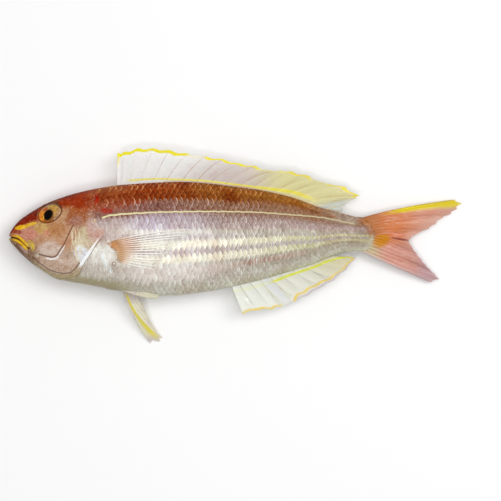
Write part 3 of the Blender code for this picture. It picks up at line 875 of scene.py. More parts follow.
def flank_side(station, height):
    """How far out the skin lies at a station and a height, whatever the share round it."""
    back, belly = outline(BACK, station), outline(BELLY, station)
    level = belly + WIDEST_LEVEL * (back - belly)
    up = height > level
    part = np.abs(height - level) / np.where(up, back - level, level - belly)
    power = np.where(up, through(BACK_ROUNDNESS, station), through(BELLY_ROUNDNESS, station))
    round_part = np.clip(1 - np.clip(part, 0, 1) ** power, 0, 1) ** (1 / power)
    return half_width(station, height) * round_part


def eye_front(station, height):
    """How far out the clear front of the eye lies."""
    ring = np.hypot(*in_eye(np.stack([station, height], axis=-1)))
    bulge = EYE_BULGE * np.sqrt(np.clip(1 - ring**2, 0, 1))
    return flank_side(station, height) - EYE_SUNK + bulge


def make_dome(name, centre, half, turn, surface, bulge, depth, side):
    """A closed dome on an oval: rings of angle t from its front pole to its back pole, bulge
    above the surface in front and depth below it behind. "dome" maps the ring and the front."""
    rows, columns = 40, 72
    t = np.concatenate([[0.0], np.linspace(0, math.pi, rows + 2)[1:-1], [math.pi]])[:, None]
    a = np.linspace(0, 2 * math.pi, columns, endpoint=False)[None]
    x, y = half[0] * np.sin(t) * np.cos(a), half[1] * np.sin(t) * np.sin(a)
    c, s = math.cos(math.radians(turn)), math.sin(math.radians(turn))
    station, height = centre[0] + x * c - y * s, centre[1] + x * s + y * c
    out = surface(station, height) + np.cos(t) * np.where(np.cos(t) > 0, bulge, depth)
    points = np.stack([station, height, side * out], axis=-1)
    ring = np.stack(np.broadcast_arrays(np.sin(t), np.cos(t), out)[:2], axis=-1)

    def with_poles(grid):
        flat = grid[1:-1].reshape(-1, grid.shape[-1])
        return np.concatenate([flat, grid[[0, -1], 0]])

    quads, triangles = ring_faces(rows, columns)
    return make_piece(name, with_poles(points), quads, triangles, {"dome": with_poles(ring)})


def iris_looks():
    """Orange in front, golden olive above and greyish behind, with a dark rim. Places are in
    millimetres on the flank."""
    paint = Paint(
        "iris", Roughness=0.14, Coat_Weight=0.35, Coat_Roughness=0.05, IOR=1.36,
        Specular_IOR_Level=0.3,
    )
    rise, spot = paint.rise, paint.spot
    ring, _ = paint.map("dome")
    here = station, height = paint.place()
    x, y = station - EYE_PLACE[0], height - EYE_PLACE[1]
    colour = paint.coats(
        rgb(226, 142, 40),
        (rgb(196, 154, 72), rise(x + y * 0.8, -4, 3)),
        (rgb(190, 154, 112), rise(x - y * 0.3, 2, 5.5)),
        (rgb(120, 66, 24), rise(y - 0.35 * x, -2.2, -4.2) * 0.7),
        (rgb(186, 70, 26), spot(*here, (22.8, 22.8), (1.6, 0.8), 30) * 0.9),
        (rgb(96, 56, 24), spot(*here, PUPIL_PLACE, (3.9, 3.1), PUPIL_TURN, 0.25) * 0.7),
        (rgb(232, 196, 60), spot(*here, (21.9, 18.0), (1.5, 0.55), 70, 0.4) * 0.9),
    )
    fleck = rise(paint.noise(700, 3, rough=0.6), 0.42, 0.62)
    colour = paint.times(colour, rgb(224, 194, 158), fleck)
    rim = rise(ring + 0.08 * rise(y, 2, 4), 0.9, 0.97)
    return paint.finish(Base_Color=paint.mix(colour, rgb(96, 60, 26), rim))


def lens_looks():
    paint = Paint("lens", Specular_IOR_Level=0.1)
    ring, _ = paint.map("dome")
    station, _ = paint.place()
    blur = paint.rise(ring, 0.78, 1.0) * paint.rise(station, 24.5, 27)
    colour = paint.mix(rgb(8, 3, 2), rgb(86, 58, 38), blur)
    colour = paint.mix(colour, rgb(60, 34, 18), paint.rise(ring, 0.9, 1.0) * 0.8)
    return paint.finish(Base_Color=colour, Roughness=0.16 + ring * 0.1)


iris_material, lens_material = iris_looks(), lens_looks()
for word, side in (("left", 1), ("right", -1)):
    ball = make_dome(
        f"eyeball_{word}", EYE_PLACE, EYE_HALF, EYE_TURN,
        lambda station, height: flank_side(station, height) - EYE_SUNK, EYE_BULGE, 3.0, side,
    )
    wear(ball, iris_material)
    lens_dome = make_dome(
        f"lens_{word}", PUPIL_PLACE, PUPIL_HALF, PUPIL_TURN, eye_front, 0.22, 0.8, side
    )
    wear(lens_dome, lens_material)


# The lips: two fleshy bands of golden yellow round the mouth, joined at its corner by the
# olive end of the jaw bone. Each band is one tube from its left corner to its right one.

UPPER_LIP = (
    (12.3, -0.8), (11.7, 0.3), (10.9, 1.4), (9.5, 2.75), (7.75, 4.3), (6.2, 5.4), (4.5, 6.1),
    (2.0, 6.4),
)
LOWER_LIP = (
    (12.0, -2.4), (10.9, -1.7), (9.9, -0.8), (8.3, 0.8), (6.4, 2.4), (4.8, 3.3), (3.2, 3.8),
    (1.2, 4.1),
)


def along_line(line, t):
    """Points of a smooth curve through the points of a line, at shares t of the way."""
    shares = np.linspace(0, 1, len(line))
    return np.stack([through(tuple(zip(shares, c)), t) for c in zip(*line)], axis=-1)


def rods(paths, flat, thick, out, sides):
    """Points of tapering rods along stacked paths, their sections ellipses: `flat` wide in the
    direction across the path and `out`, and `thick` in the direction of `out`."""
    tangent = unit(np.gradient(paths, axis=-2))
    out = unit(out - (out * tangent).sum(-1, keepdims=True) * tangent)
    across = np.cross(out, tangent)
    a = np.linspace(0, 2 * math.pi, sides, endpoint=False)[:, None]
    ring = (
        paths[..., None, :]
        + np.cos(a) * across[..., None, :] * flat[..., None, None]
        + np.sin(a) * out[..., None, :] * thick[..., None, None]
    )
    ends = paths[..., [0, -1], :]
    lead = paths.shape[:-2]
    return np.concatenate([ring.reshape(*lead, -1, 3), ends], axis=-2)


def rod_values(values, sides):
    """Repeats values along stacked paths for each point of their rods."""
    around = np.repeat(values[..., :, None, :], sides, axis=-2)
    lead = values.shape[:-2]
    return np.concatenate(
        [around.reshape(*lead, -1, values.shape[-1]), values[..., [0, -1], :]], axis=-2
    )


def make_rods(name, paths, flat, thick, out, maps, sides=8, lowest=0.35):
    """One joined mesh of many rods, each map with a pair of numbers for each step of a path."""
    points = rods(paths, flat, thick, out, sides)
    maps = {key: rod_values(values, sides) for key, values in maps.items()}
    quads, triangles = ring_faces(paths.shape[-2], sides)
    count, each = len(paths), points.shape[-2]
    return make_piece(
        name, points.reshape(-1, 3), repeated(quads, count, each),
        repeated(triangles, count, each), maps, lowest,
    )


def make_lip(name, half, radius, thick, standing):
    """The half line, laid on the left flank, carried round the snout and back on the right."""
    t = np.linspace(0, 1, 60)
    line = along_line(half, t)
    out = flank_side(line[:, 0], line[:, 1]) + standing
    left = np.column_stack([line, out])
    right = (left * [1, 1, -1])[::-1]
    bend = np.linspace(0, math.pi, 13)[1:-1]
    reach = out[-1]
    snout = np.column_stack(
        [line[-1, 0] - 0.9 * np.sin(bend), np.full(11, line[-1, 1]), reach * np.cos(bend)]
    )
    path = np.concatenate([left, snout, right])
    way = np.linspace(-1, 1, len(path))
    taper = np.clip((1 - np.abs(way)) / 0.16, 0.12, 1) ** 0.5
    swollen = 1 + 0.25 * swell(np.abs(way) - 0.72, 0.2)
    middle = np.array([9.0, line[:, 1].mean(), 0.0])
    out_of_head = unit((path - middle) * [0.4, 0.15, 1.0])
    values = np.stack([way, np.zeros_like(way)], axis=-1)
    return make_rods(
        name, path[None], (radius * taper * swollen)[None], (thick * taper)[None],
        out_of_head[None], {"fin": values[None]}, 16,
    )


def lip_looks():
    """Flecked yellow, olive at the corner of the mouth, and brown or red at the tip."""
    paint = Paint("yellow_lips", IOR=1.42, Coat_Roughness=0.1, Specular_IOR_Level=0.1)
    station, height = paint.place()
    fleck = paint.noise(500, 3)
    tip = paint.mix(rgb(150, 128, 74), rgb(176, 92, 52), paint.rise(height, 4.6, 5.6))
    colour = paint.coats(
        rgb(228, 178, 36),
        (rgb(190, 138, 36), paint.rise(fleck, 0.4, 0.7) * 0.7),
        (rgb(196, 164, 62), paint.rise(station, 10, 13)),
        (tip, paint.rise(station, 4.2, 1.8) * 0.85),
    )
    return paint.finish(
        Base_Color=colour, Roughness=0.3 + 0.2 * fleck, Coat_Weight=0.12 + 0.2 * fleck,
        height=fleck, depth=0.06,
    )


lip_material = lip_looks()
for name, half, radius in (("upper_lip", UPPER_LIP, 0.86), ("lower_lip", LOWER_LIP, 0.8)):
    lip = make_lip(name, half, radius, 0.6, 0.1)
    wear(lip, lip_material)


# The lateral line: a row of pored tubes, one on each scale, that runs from the gill cover to
# the tail as a thin golden thread.

LATERAL_LINE = (
    (57.0, 16.8), (62.7, 18.7), (70.0, 19.5), (76.9, 20.0), (99.3, 20.9), (124.1, 21.2),
    (148.9, 20.9), (173.7, 19.3), (192.3, 17.7), (207.8, 14.8), (222.0, 11.6),
)
LINE_START, LINE_END, TUBE_LENGTH = 58.0, 213.0, 3.3


def make_lateral_line(name, side):
    """Short tapering rods one pitch apart, each raised at its rear end."""
    count, steps = 52, 7
    start = LINE_START + (LINE_END - LINE_START) * (np.arange(count) / count) ** 0.97
    t = np.linspace(0, 1, steps)
    station = start[:, None] + TUBE_LENGTH * t
    height = through(LATERAL_LINE, station) + 0.12 * np.sin(np.arange(count) * 2.4)[:, None]
    out = flank_side(station, height) + 0.14 + 0.16 * t
    path = np.stack([station, height, side * out], axis=-1)
    front = np.clip((100 - start) / 40, 0, 1)[:, None]
    radius = (0.52 + 0.2 * front) * (1 - 0.3 * t)
    away = np.broadcast_to(np.array([0.0, 0.25, side]), path.shape)
    values = np.stack([station / FLESH_LENGTH, np.broadcast_to(t, station.shape)], axis=-1)
    return make_rods(name, path, radius, radius * 0.6, away, {"fin": values}, 6)


def line_looks():
    """Pale gold, greyer towards the tail, with a darker front on each tube."""
    paint = Paint("lateral_line_gold", Coat_Weight=0.3, Specular_IOR_Level=0.3)
    along, t = paint.map("fin")
    colour = paint.coats(
        rgb(226, 217, 166),
        (rgb(190, 176, 136), paint.rise(along, 0.45, 0.9)),
        (rgb(204, 176, 128), paint.rise(t, 0.4, 0.1) * 0.5),
    )
    return paint.finish(Base_Color=colour, Roughness=0.3 + 0.1 * t)


line_material = line_looks()
for word, side in (("left", 1), ("right", -1)):
    line = make_lateral_line(f"lateral_line_{word}", side)
    wear(line, line_material)


# The back fin: ten sharp spines and ten soft, jointed rays under a clear wet membrane, which is
# yellow along its edge and just above the back. The last ray is the rear border of the membrane.

BACK_FIN_RAYS = (
    ((67.0, 37.2), (66.6, 47.7), (67.0, 57.7)), ((69.5, 37.8), (70.1, 48.4), (71.1, 58.3)),
    ((75.1, 39.1), (76.9, 50.2), (79.4, 60.6)), ((81.9, 39.7), (85.0, 51.5), (89.0, 60.6)),
    ((89.3, 40.3), (93.7, 50.2), (99.0, 59.5)), ((97.4, 40.3), (102.4, 48.4), (110.4, 57.4)),
    ((106.7, 39.7), (111.7, 46.8), (121.0, 55.8)), ((115.4, 39.1), (122.8, 47.4), (132.1, 53.9)),
    ((124.1, 38.4), (131.5, 45.3), (142.7, 51.1)), ((132.7, 37.2), (140.8, 44.0), (152.0, 49.6)),
    ((142.0, 36.6), (150.1, 42.2), (162.5, 46.5)), ((150.1, 35.3), (157.5, 41.2), (168.1, 46.9)),
    ((157.5, 34.1), (164.4, 40.3), (174.3, 46.4)), ((164.4, 32.9), (172.4, 38.4), (184.8, 43.7)),
    ((171.2, 31.0), (181.7, 36.6), (196.0, 38.9)), ((177.4, 29.1), (189.8, 34.7), (207.8, 36.9)),
    ((183.0, 27.3), (198.5, 31.0), (217.1, 31.2)), ((189.8, 24.8), (202.2, 28.2), (214.9, 29.6)),
    ((196.0, 22.9), (201.6, 24.2), (206.8, 25.9)), ((202.8, 21.4), (204.7, 21.7), (206.2, 22.0)),
)
BACK_FIN_LEAN = ((66.0, -0.5), (90.0, -1.4), (121.0, -2.2), (165.0, -3.0), (205.0, -2.6),
                 (217.0, -2.2))


def leaning(rays, lean, sink, middle_lean=0.5):
    """Rays of (station, height) with their distance out of the plane of symmetry added: none at
    the foot, which is sunk into the flesh, and all of it at the tip."""
    rays = np.array(rays, float)
    out = through(lean, rays[:, 2, 0])
    side = np.stack([0 * out, middle_lean * out, out], axis=-1)
    rays = np.concatenate([rays, side[..., None]], axis=-1)
    rays[:, 0] += unit(rays[:, 0] - rays[:, 1]) * sink
    return rays


def on_fan(rays, i, v):
    """The point at v of the way up ray number i, whole or between two. A ray is the parabola
    through its foot, its middle and its tip."""
    number = np.arange(len(rays))
    foot, middle, tip = (
        np.stack([np.interp(i, number, rays[:, k, d]) for d in range(3)], axis=-1)
        for k in range(3)
    )
    v = np.asarray(v)[..., None]
    return foot * (1 - v) * (1 - 2 * v) + middle * 4 * v * (1 - v) + tip * v * (2 * v - 1)


def fan_maps(rays, i, reach, below, points):
    """For each point of a fan: "fin" has the share across the fan and up the ray, and "edge"
    the millimetres off the edge of the body and below the rim. below is a share of the ray."""
    length = np.linalg.norm(rays[:, 2] - rays[:, 0], axis=-1)
    station, height = points[..., 0], points[..., 1]
    off = np.maximum(height - outline(BACK, station), outline(BELLY, station) - height)
    return {
        "fin": np.stack(np.broadcast_arrays(i / (len(rays) - 1), reach), axis=-1),
        "edge": np.stack([off, below * np.interp(i, np.arange(len(rays)), length)], axis=-1),
    }


def make_membrane(name, rays, notch, sag, steps=8, rows=24, half=0.07, lowest=0.3):
    """A thin closed sheet over a fan of rays. Between two rays it is cut back at the rim by
    notch and hangs down by sag, both as the square of a sine. A slow wave runs along it."""
    i = np.linspace(0, len(rays) - 1, (len(rays) - 1) * steps + 1)
    v, i = np.meshgrid(np.linspace(0, 1, rows), i, indexing="ij")
    between = np.sin(math.pi * i) ** 2
    reach = v * (1 - notch * between)
    middle = on_fan(rays, i, reach)
    wave = 0.25 * np.sin(i * 1.9 + 2.2 * v) * v
    down = (sag * between * np.sin(math.pi * np.clip(v, 0, 0.94)) + wave)[..., None]
    out = np.array([0.0, 0.0, 1.0])
    sheet = middle - out * down
    points = both_faces(sheet + out * half, sheet - out * half)
    maps = fan_maps(rays, i, reach, 1 - v, sheet)
    maps = {key: both_faces(values, values) for key, values in maps.items()}
    quads = sheet_faces(rows, i.shape[1])
    return make_piece(name, points, quads, np.empty((0, 3), int), maps, lowest)


def ray_rods(name, rays, numbers, width, thick, strands=1, spread=0.0, part_at=0.4, stop=1.0,
             lowest=0.3):
    """Rods up the given rays. A soft ray is several strands that lie together up to part_at
    and then spread evenly, so that it forks towards the rim."""
    numbers = np.asarray(numbers, float)
    offset = np.linspace(-1, 1, strands) * spread if strands > 1 else np.zeros(1)
    v = np.linspace(0, 1, 26)
    opened = np.clip((v - part_at) / (1 - part_at), 0, 1) ** 1.2
    i = numbers[:, None, None] + offset[None, :, None] * (0.12 + opened)[None, None, :]
    i = np.clip(i, 0, len(rays) - 1).reshape(-1, len(v))
    reach = np.broadcast_to(v * stop, i.shape)
    paths = on_fan(rays, i, reach)
    taper = (1 - 0.72 * v)[None] * (1 if strands == 1 else 0.62)
    taper = np.broadcast_to(taper, i.shape)
    out = np.broadcast_to(np.array([0.0, 0.0, 1.0]), paths.shape)
    maps = fan_maps(rays, i, reach, 1 - reach, paths)
    return make_rods(name, paths, width * taper, thick * taper, out, maps, 6, lowest)


BACK_FIN = leaning(BACK_FIN_RAYS, BACK_FIN_LEAN, 2.0)


def back_fin_colour(paint):
    """Colour, cover, clouds and stripes. Clear and whitish in front, pinkish grey in the middle,
    straw yellow in the soft rear. One stripe runs just above the back, and the golden edge is
    broken three times."""
    rise, band = paint.rise, paint.band
    u, v = paint.map("fin")
    off, rim = paint.map("edge")
    station, _ = paint.place()
    cloud = paint.noise(120, 3)
    middle, last, rear = rise(u, 0.22, 0.45), rise(u, 0.86, 0.93), rise(station, 140, 172)
    gaps = band(station, 116, 7) * 0.75 + band(station, 163, 11) * 0.6
    gaps = gaps + band(station, 191.5, 6.5)
    margin = 1 + 0.5 * rise(station, 112, 100) + 0.7 * rise(station, 192, 202)
    gold = rise((rim + (cloud - 0.5) * 0.8) / margin, 2.1, 1.4) * (1 - gaps)
    gold = gold * rise(u, 0.90, 0.86) + rise(u, 0.035, 0.005) * rise(v, 0.45, 0.75) * 0.7
    centre = 1.5 + 0.9 * rise(station, 105, 88) + 2.3 * rise(station, 150, 184)
    low = 1 - rise(abs(off - centre) / (1 + 0.8 * rear), 0.35, 0.85)
    low = low * rise(station, 70, 76) * rise(station, 192, 182)
    root = rise(off, 1.3, 0.2) * rise(station, 92, 100)
    colour = paint.coats(
        rgb(250, 250, 248),
        (rgb(216, 204, 198), middle),
        (rgb(222, 215, 158), rear),
        (rgb(208, 214, 208), last * 0.9),
        (rgb(216, 190, 182), rise(cloud, 0.5, 0.7) * middle * (1 - rear)),
        (paint.mix(rgb(232, 220, 20), rgb(222, 206, 60), rear), gold),
        (rgb(220, 208, 62), low * 0.9),
        (rgb(196, 158, 126), root * 0.6),
    )
    stripes = gold + low
    cover = 0.34 + 0.3 * middle + 0.14 * rear - 0.2 * last + 0.6 * stripes
    return colour, cover, cloud, stripes


def film_looks(name, shine, coloured, *about):
    """The looks of a wet membrane. `coloured` works out its colour, its cover and its clouds."""
    paint = Paint(name, Roughness=0.35, IOR=1.36, Specular_IOR_Level=shine)
    colour, cover, cloud = coloured(paint, *about)[:3]
    return paint.finish(
        Base_Color=colour, Alpha=cover, Coat_Weight=0.15 + cloud * 0.2, height=cloud, depth=0.2
    )


def back_fin_ray_looks():
    """Bone, paler in front and yellower behind, with the stripes of the membrane over it."""
    paint = Paint("back_fin_rays", Roughness=0.4, Specular_IOR_Level=0.1)
    colour, _, cloud, stripes = back_fin_colour(paint)
    _, v = paint.map("fin")
    station, _ = paint.place()
    bone = paint.mix(rgb(214, 196, 182), rgb(186, 156, 138), cloud)
    colour = paint.coats(
        rgb(232, 224, 218),
        (bone, paint.rise(station, 84, 112)),
        (rgb(208, 194, 136), paint.rise(station, 145, 175) * 0.8),
        (colour, stripes * 0.85),
    )
    return paint.finish(
        Base_Color=colour, Coat_Weight=0.15 + 0.1 * cloud, height=paint.waves(v, 6.0), depth=0.05
    )


back_membrane = make_membrane("back_fin_membrane", BACK_FIN, 0.055, 0.35)
wear(back_membrane, film_looks("back_fin_membrane", 0.1, back_fin_colour))
back_ray_material = back_fin_ray_looks()
back_spines = ray_rods("back_fin_spines", BACK_FIN, range(10), 0.36, 0.5)
wear(back_spines, back_ray_material)
back_rays = ray_rods("back_fin_rays", BACK_FIN, range(10, 20), 0.3, 0.42, 3, 0.22, 0.3, 0.97)
wear(back_rays, back_ray_material)


# The anal fin: three short spines and eight soft rays under the rear of the belly, the last one
# its rear border. It is white, with a golden stripe near the rim and a greener one near the flesh.

ANAL_FIN_RAYS = (
    ((137.7, -25.1), (140.8, -33.5), (144.5, -42.2)),
    ((142.7, -24.2), (147.9, -32.2), (153.8, -39.8)),
    ((148.9, -22.6), (155.7, -31.0), (162.5, -39.4)),
    ((155.1, -21.1), (161.9, -29.4), (169.3, -37.5)),
    ((161.3, -19.5), (169.0, -27.3), (177.4, -34.7)),
    ((168.1, -17.9), (176.1, -24.5), (184.8, -30.6)),
    ((175.5, -15.5), (183.9, -21.1), (192.9, -25.8)),
    ((183.0, -12.9), (191.6, -17.7), (200.9, -21.3)),
    ((191.0, -9.9), (199.4, -13.0), (208.4, -14.9)),
    ((198.5, -7.8), (206.5, -8.4), (215.2, -7.1)), ((203.4, -6.2), (207.1, -6.7), (210.9, -6.5)),
)
ANAL_FIN_LEAN = ((144.0, -1.0), (160.0, -1.7), (184.0, -2.4), (207.0, -2.2), (216.0, -1.4))
ANAL_FIN = leaning(ANAL_FIN_RAYS, ANAL_FIN_LEAN, 2.0)


def anal_fin_colour(paint):
    """Colour, cover, clouds, stripes and pleat. Milky white, lilac grey along the rim. The
    stripes run at their own millimetres from the rim and from the belly, and are weaker in the
    bluish white pleat between the fourth and the fifth ray."""
    rise = paint.rise
    u, _ = paint.map("fin")
    off, rim = paint.map("edge")
    cloud = paint.noise(130, 3)
    pleat = paint.band(u, 0.35, 0.055, 0.4)
    from_rim = 1.0 + 2.8 * rise(u, 0.36, 0.48) - 1.6 * rise(u, 0.6, 0.85)
    outer = 1 - rise(abs(rim - from_rim), 0.6, 1.5)
    outer = outer * (1 - pleat * 0.9) * (0.65 + 0.35 * rise(cloud, 0.4, 0.6))
    off_body = 3.4 - 1.2 * rise(u, 0.35, 0.6) + rise(u, 0.82, 0.95)
    inner = 1 - rise(abs(off - off_body), 0.4, 1.3)
    inner = inner * (0.25 + 0.7 * rise(u, 0.25, 0.42)) * (1 - 0.5 * pleat)
    colour = paint.coats(
        rgb(242, 244, 234),
        (rgb(238, 238, 224), rise(u, 0.2, 0.5)),
        (rgb(226, 218, 178), rise(u, 0.6, 0.9)),
        (rgb(234, 236, 234), pleat),
        (rgb(206, 196, 200), rise(rim, 2.6, 0.8) * rise(u, 0.3, 0.5)),
        (rgb(224, 194, 66), outer * 0.9),
        (rgb(214, 218, 62), inner),
    )
    return colour, 0.6 + 0.4 * outer + 0.35 * inner, cloud, outer + inner, pleat


def anal_ray_looks():
    """Greyish bone, yellow at the pleat, with the stripes of the membrane over it."""
    paint = Paint("anal_fin_rays", Roughness=0.4, Specular_IOR_Level=0.3)
    colour, _, cloud, stripes, pleat = anal_fin_colour(paint)
    colour = paint.coats(
        rgb(216, 214, 200), (rgb(180, 176, 162), cloud), (rgb(240, 232, 150), pleat),
        (colour, stripes * 0.85),
    )
    return paint.finish(Base_Color=colour, Coat_Weight=0.15 + 0.1 * cloud)


anal_membrane = make_membrane("anal_fin_membrane", ANAL_FIN, 0.05, 0.4)
wear(anal_membrane, film_looks("anal_fin_membrane", 0.3, anal_fin_colour))
anal_material = anal_ray_looks()
anal_spines = ray_rods("anal_fin_spines", ANAL_FIN, range(3), 0.34, 0.5)
wear(anal_spines, anal_material)
anal_rays = ray_rods("anal_fin_rays", ANAL_FIN, range(3, 11), 0.3, 0.42, 3, 0.2, 0.35, 0.97)
wear(anal_rays, anal_material)


# The tail fin: seventeen forking rays in two pointed lobes, salmon pink and nearly opaque, with
# a yellow upper edge and an orange blot where it leaves the flesh.

TAIL_FEET = ((213.0, 15.6, 0.0), (219.5, 11.0, 0.0), (221.0, 7.0, 0.0), (219.5, 3.0, 0.0),
             (213.0, -0.8, 0.0))
TAIL_MIDDLES = ((241.8, 23.2, 0.4), (239.5, 18.2, 0.9), (236.0, 12.3, 0.6), (233.6, 6.9, 0.0),
                (234.2, 1.8, 0.6), (236.0, -4.9, 0.9), (237.5, -12.0, 0.4))
TAIL_TIPS = (
    (276.6, 28.9), (280.9, 26.7), (277.6, 23.0), (274.0, 19.9), (268.6, 17.5), (264.4, 13.8),
    (260.0, 10.6), (254.0, 8.2), (247.4, 3.6), (249.8, -0.8), (252.5, -4.6), (255.5, -8.4),
    (258.4, -11.9), (261.2, -14.9), (264.1, -17.5), (266.8, -20.6), (261.5, -22.6),
)
TAIL_SHARES = np.linspace(0, 1, 17)
TAIL_FIN = np.stack([
    along_line(TAIL_FEET, TAIL_SHARES), along_line(TAIL_MIDDLES, TAIL_SHARES),
    np.array([(*tip, 0.0) for tip in TAIL_TIPS]),
], axis=1)


def tail_colour(paint):
    """Orange brown at the root and salmon further out, greyer along both rims, lilac at the
    lower tip. Fine streaks follow the rays."""
    rise = paint.rise
    u, v = paint.map("fin")
    station, height = paint.place()
    cloud, grain = paint.noise(90, 3), paint.noise(300, 3, (0.5, 3.0, 1.0))
    wave = station + (cloud - 0.5) * 8
    bent = wave, height + (grain - 0.5) * 4
    lower = rise(height, 6, -2)
    root = paint.mix(rgb(182, 118, 70), rgb(192, 176, 138), rise(height, 6, 0))
    edge = rise(u + (cloud - 0.5) * 0.05, 0.13, 0.06) * rise(station, 228, 246)
    colour = paint.coats(
        rgb(210, 128, 80),
        (rgb(218, 156, 132), rise(wave, 240, 258)),
        (rgb(216, 182, 170), rise(v, 0.8, 1.0) * 0.5),
        (rgb(206, 148, 134), lower * 0.9),
        (rgb(190, 154, 158), lower * rise(wave, 246, 260) * 0.9),
        (rgb(228, 188, 170), rise(grain, 0.5, 0.68) * 0.5),
        (root, rise(wave, 236, 223) * 0.95),
        (rgb(214, 110, 80), paint.spot(*bent, (239.5, 6.6), (7, 2.2), -8) * 0.35),
        (rgb(198, 128, 0), paint.spot(*bent, (230.5, 3.2), (6.2, 3.6), 15, 0.8) * 0.95),
        (rgb(120, 40, 28), paint.spot(station, height, (242.0, 4.3), (6, 0.65), -9) * 0.85),
        (rgb(212, 188, 188), rise(u, 0.94, 1.0) * 0.6),
        (rgb(226, 208, 16), edge * 0.95),
    )
    return colour, grain, cloud, v


def tail_membrane_looks():
    paint = Paint("tail_membrane", IOR=1.36, Specular_IOR_Level=0.08)
    colour, grain, cloud, v = tail_colour(paint)
    cover = 0.97 - 0.2 * paint.rise(v, 0.55, 1.0)
    return paint.finish(
        Base_Color=colour, Alpha=cover, Roughness=0.35 + 0.15 * grain,
        Coat_Weight=0.1 + 0.2 * cloud, height=grain, depth=0.15,
    )


def tail_ray_looks():
    """The colours of the membrane, a little darker, over jointed bone."""
    paint = Paint("tail_rays", Specular_IOR_Level=0.08)
    colour, grain, cloud, v = tail_colour(paint)
    return paint.finish(
        Base_Color=paint.times(colour, rgb(242, 232, 224), grain),
        Roughness=0.35 + 0.1 * grain, Coat_Weight=0.1 + 0.2 * cloud,
        height=paint.waves(v, 12.0), depth=0.05,
    )


tail_membrane = make_membrane("tail_membrane", TAIL_FIN, 0.02, 0.18, rows=40)
wear(tail_membrane, tail_membrane_looks())
tail_material = tail_ray_looks()
tail_rays = ray_rods("tail_rays", TAIL_FIN, range(17), 0.5, 0.62, 4, 0.36, 0.35, 0.985)
wear(tail_rays, tail_material)


# The pelvic fins: one spine and five soft rays each, under the throat. The right one is spread
# and droops to the table, the left one is folded back along the belly.

SPREAD_FEET = ((69.6, -25.4, -3.0), (71.8, -25.7, -2.8), (74.0, -26.0, -2.6), (76.0, -26.2, -2.4))
SPREAD_MIDDLES = ((76.2, -43.0, -7.6), (79.3, -43.4, -7.2), (79.8, -38.0, -6.0),
                  (79.0, -31.2, -3.4))
SPREAD_TIPS = ((86.6, -60.5, -14.9), (95.0, -58.4, -14.9), (88.6, -49.6, -12.0),
               (82.6, -36.5, -4.4))
FOLDED_FEET = ((69.0, -26.8, 4.4), (71.0, -26.2, 4.8), (73.0, -25.6, 5.2))
FOLDED_MIDDLES = ((80.0, -30.8, 3.4), (81.5, -29.6, 4.6), (83.0, -28.0, 6.0))
FOLDED_TIPS = ((91.6, -32.8, 2.6), (93.0, -31.6, 3.4), (93.6, -30.2, 4.8))


def fan_of(count, *lines):
    """Evenly shared rays between the lines of feet, of middles and of tips."""
    shares = np.linspace(0, 1, count)
    return np.stack([along_line(line, shares) for line in lines], axis=1)


def pelvic_colour(paint, yellow, cover):
    """Colour, cover and clouds: cream and pinkish, olive at the root, with a yellow core."""
    u, v = paint.map("fin")
    cloud = paint.noise(110, 3)
    core = paint.band(u, 0.27, 0.2, 0.7) * paint.rise(v, 0.05, 0.2) * paint.rise(v, 1.05, 0.8)
    core = core * yellow
    colour = paint.coats(
        rgb(236, 232, 206),
        (rgb(222, 210, 204), paint.rise(cloud, 0.4, 0.65)),
        (rgb(196, 190, 166), paint.rise(v, 0.25, 0.05) * 0.7),
        (rgb(230, 216, 72), core),
    )
    return colour, cover + 0.25 * core + 0.1 * cloud, cloud


spread_fin = fan_of(6, SPREAD_FEET, SPREAD_MIDDLES, SPREAD_TIPS)
folded_fin = fan_of(6, FOLDED_FEET, FOLDED_MIDDLES, FOLDED_TIPS)
for word, rays, yellow in (("right", spread_fin, 0.95), ("left", folded_fin, 0.1)):
    web = make_membrane(f"pelvic_{word}_membrane", rays, 0.05, 0.25, lowest=0.15)
    wear(web, film_looks(f"pelvic_{word}_web", 0.3, pelvic_colour, yellow, 0.6))
    fan = ray_rods(f"pelvic_{word}_rays", rays, range(6), 0.4, 0.42, 3, 0.3, 0.3, 0.97, 0.15)
    wear(fan, film_looks(f"pelvic_{word}_bone", 0.3, pelvic_colour, yellow, 0.9))


# The pectoral fins: fourteen fine pale rays in a fan behind each gill cover, from a fleshy
# orange root with a white pore below it. The left one lies back on the flank under a film of
# clear skin, the right one is pressed under the fish.

PECTORAL_FEET = ((60.6, 1.6), (62.4, 0.2), (64.0, -2.4), (65.2, -5.6), (66.2, -9.0))
PECTORAL_MIDDLES = ((83.5, 7.2), (85.4, 2.8), (84.6, -2.2), (82.0, -7.4), (77.4, -12.0))
PECTORAL_TIPS = ((112.0, 10.4), (110.6, 5.2), (103.0, -1.0), (96.0, -8.2), (89.0, -14.2))
PECTORAL_RAYS = 14


def lie_on_flank(paths, side, lift):
    """Points of (station, height, any) moved out to lie `lift` above the skin."""
    station, height = paths[..., 0], paths[..., 1]
    return np.stack([station, height, side * (flank_side(station, height) + lift)], axis=-1)


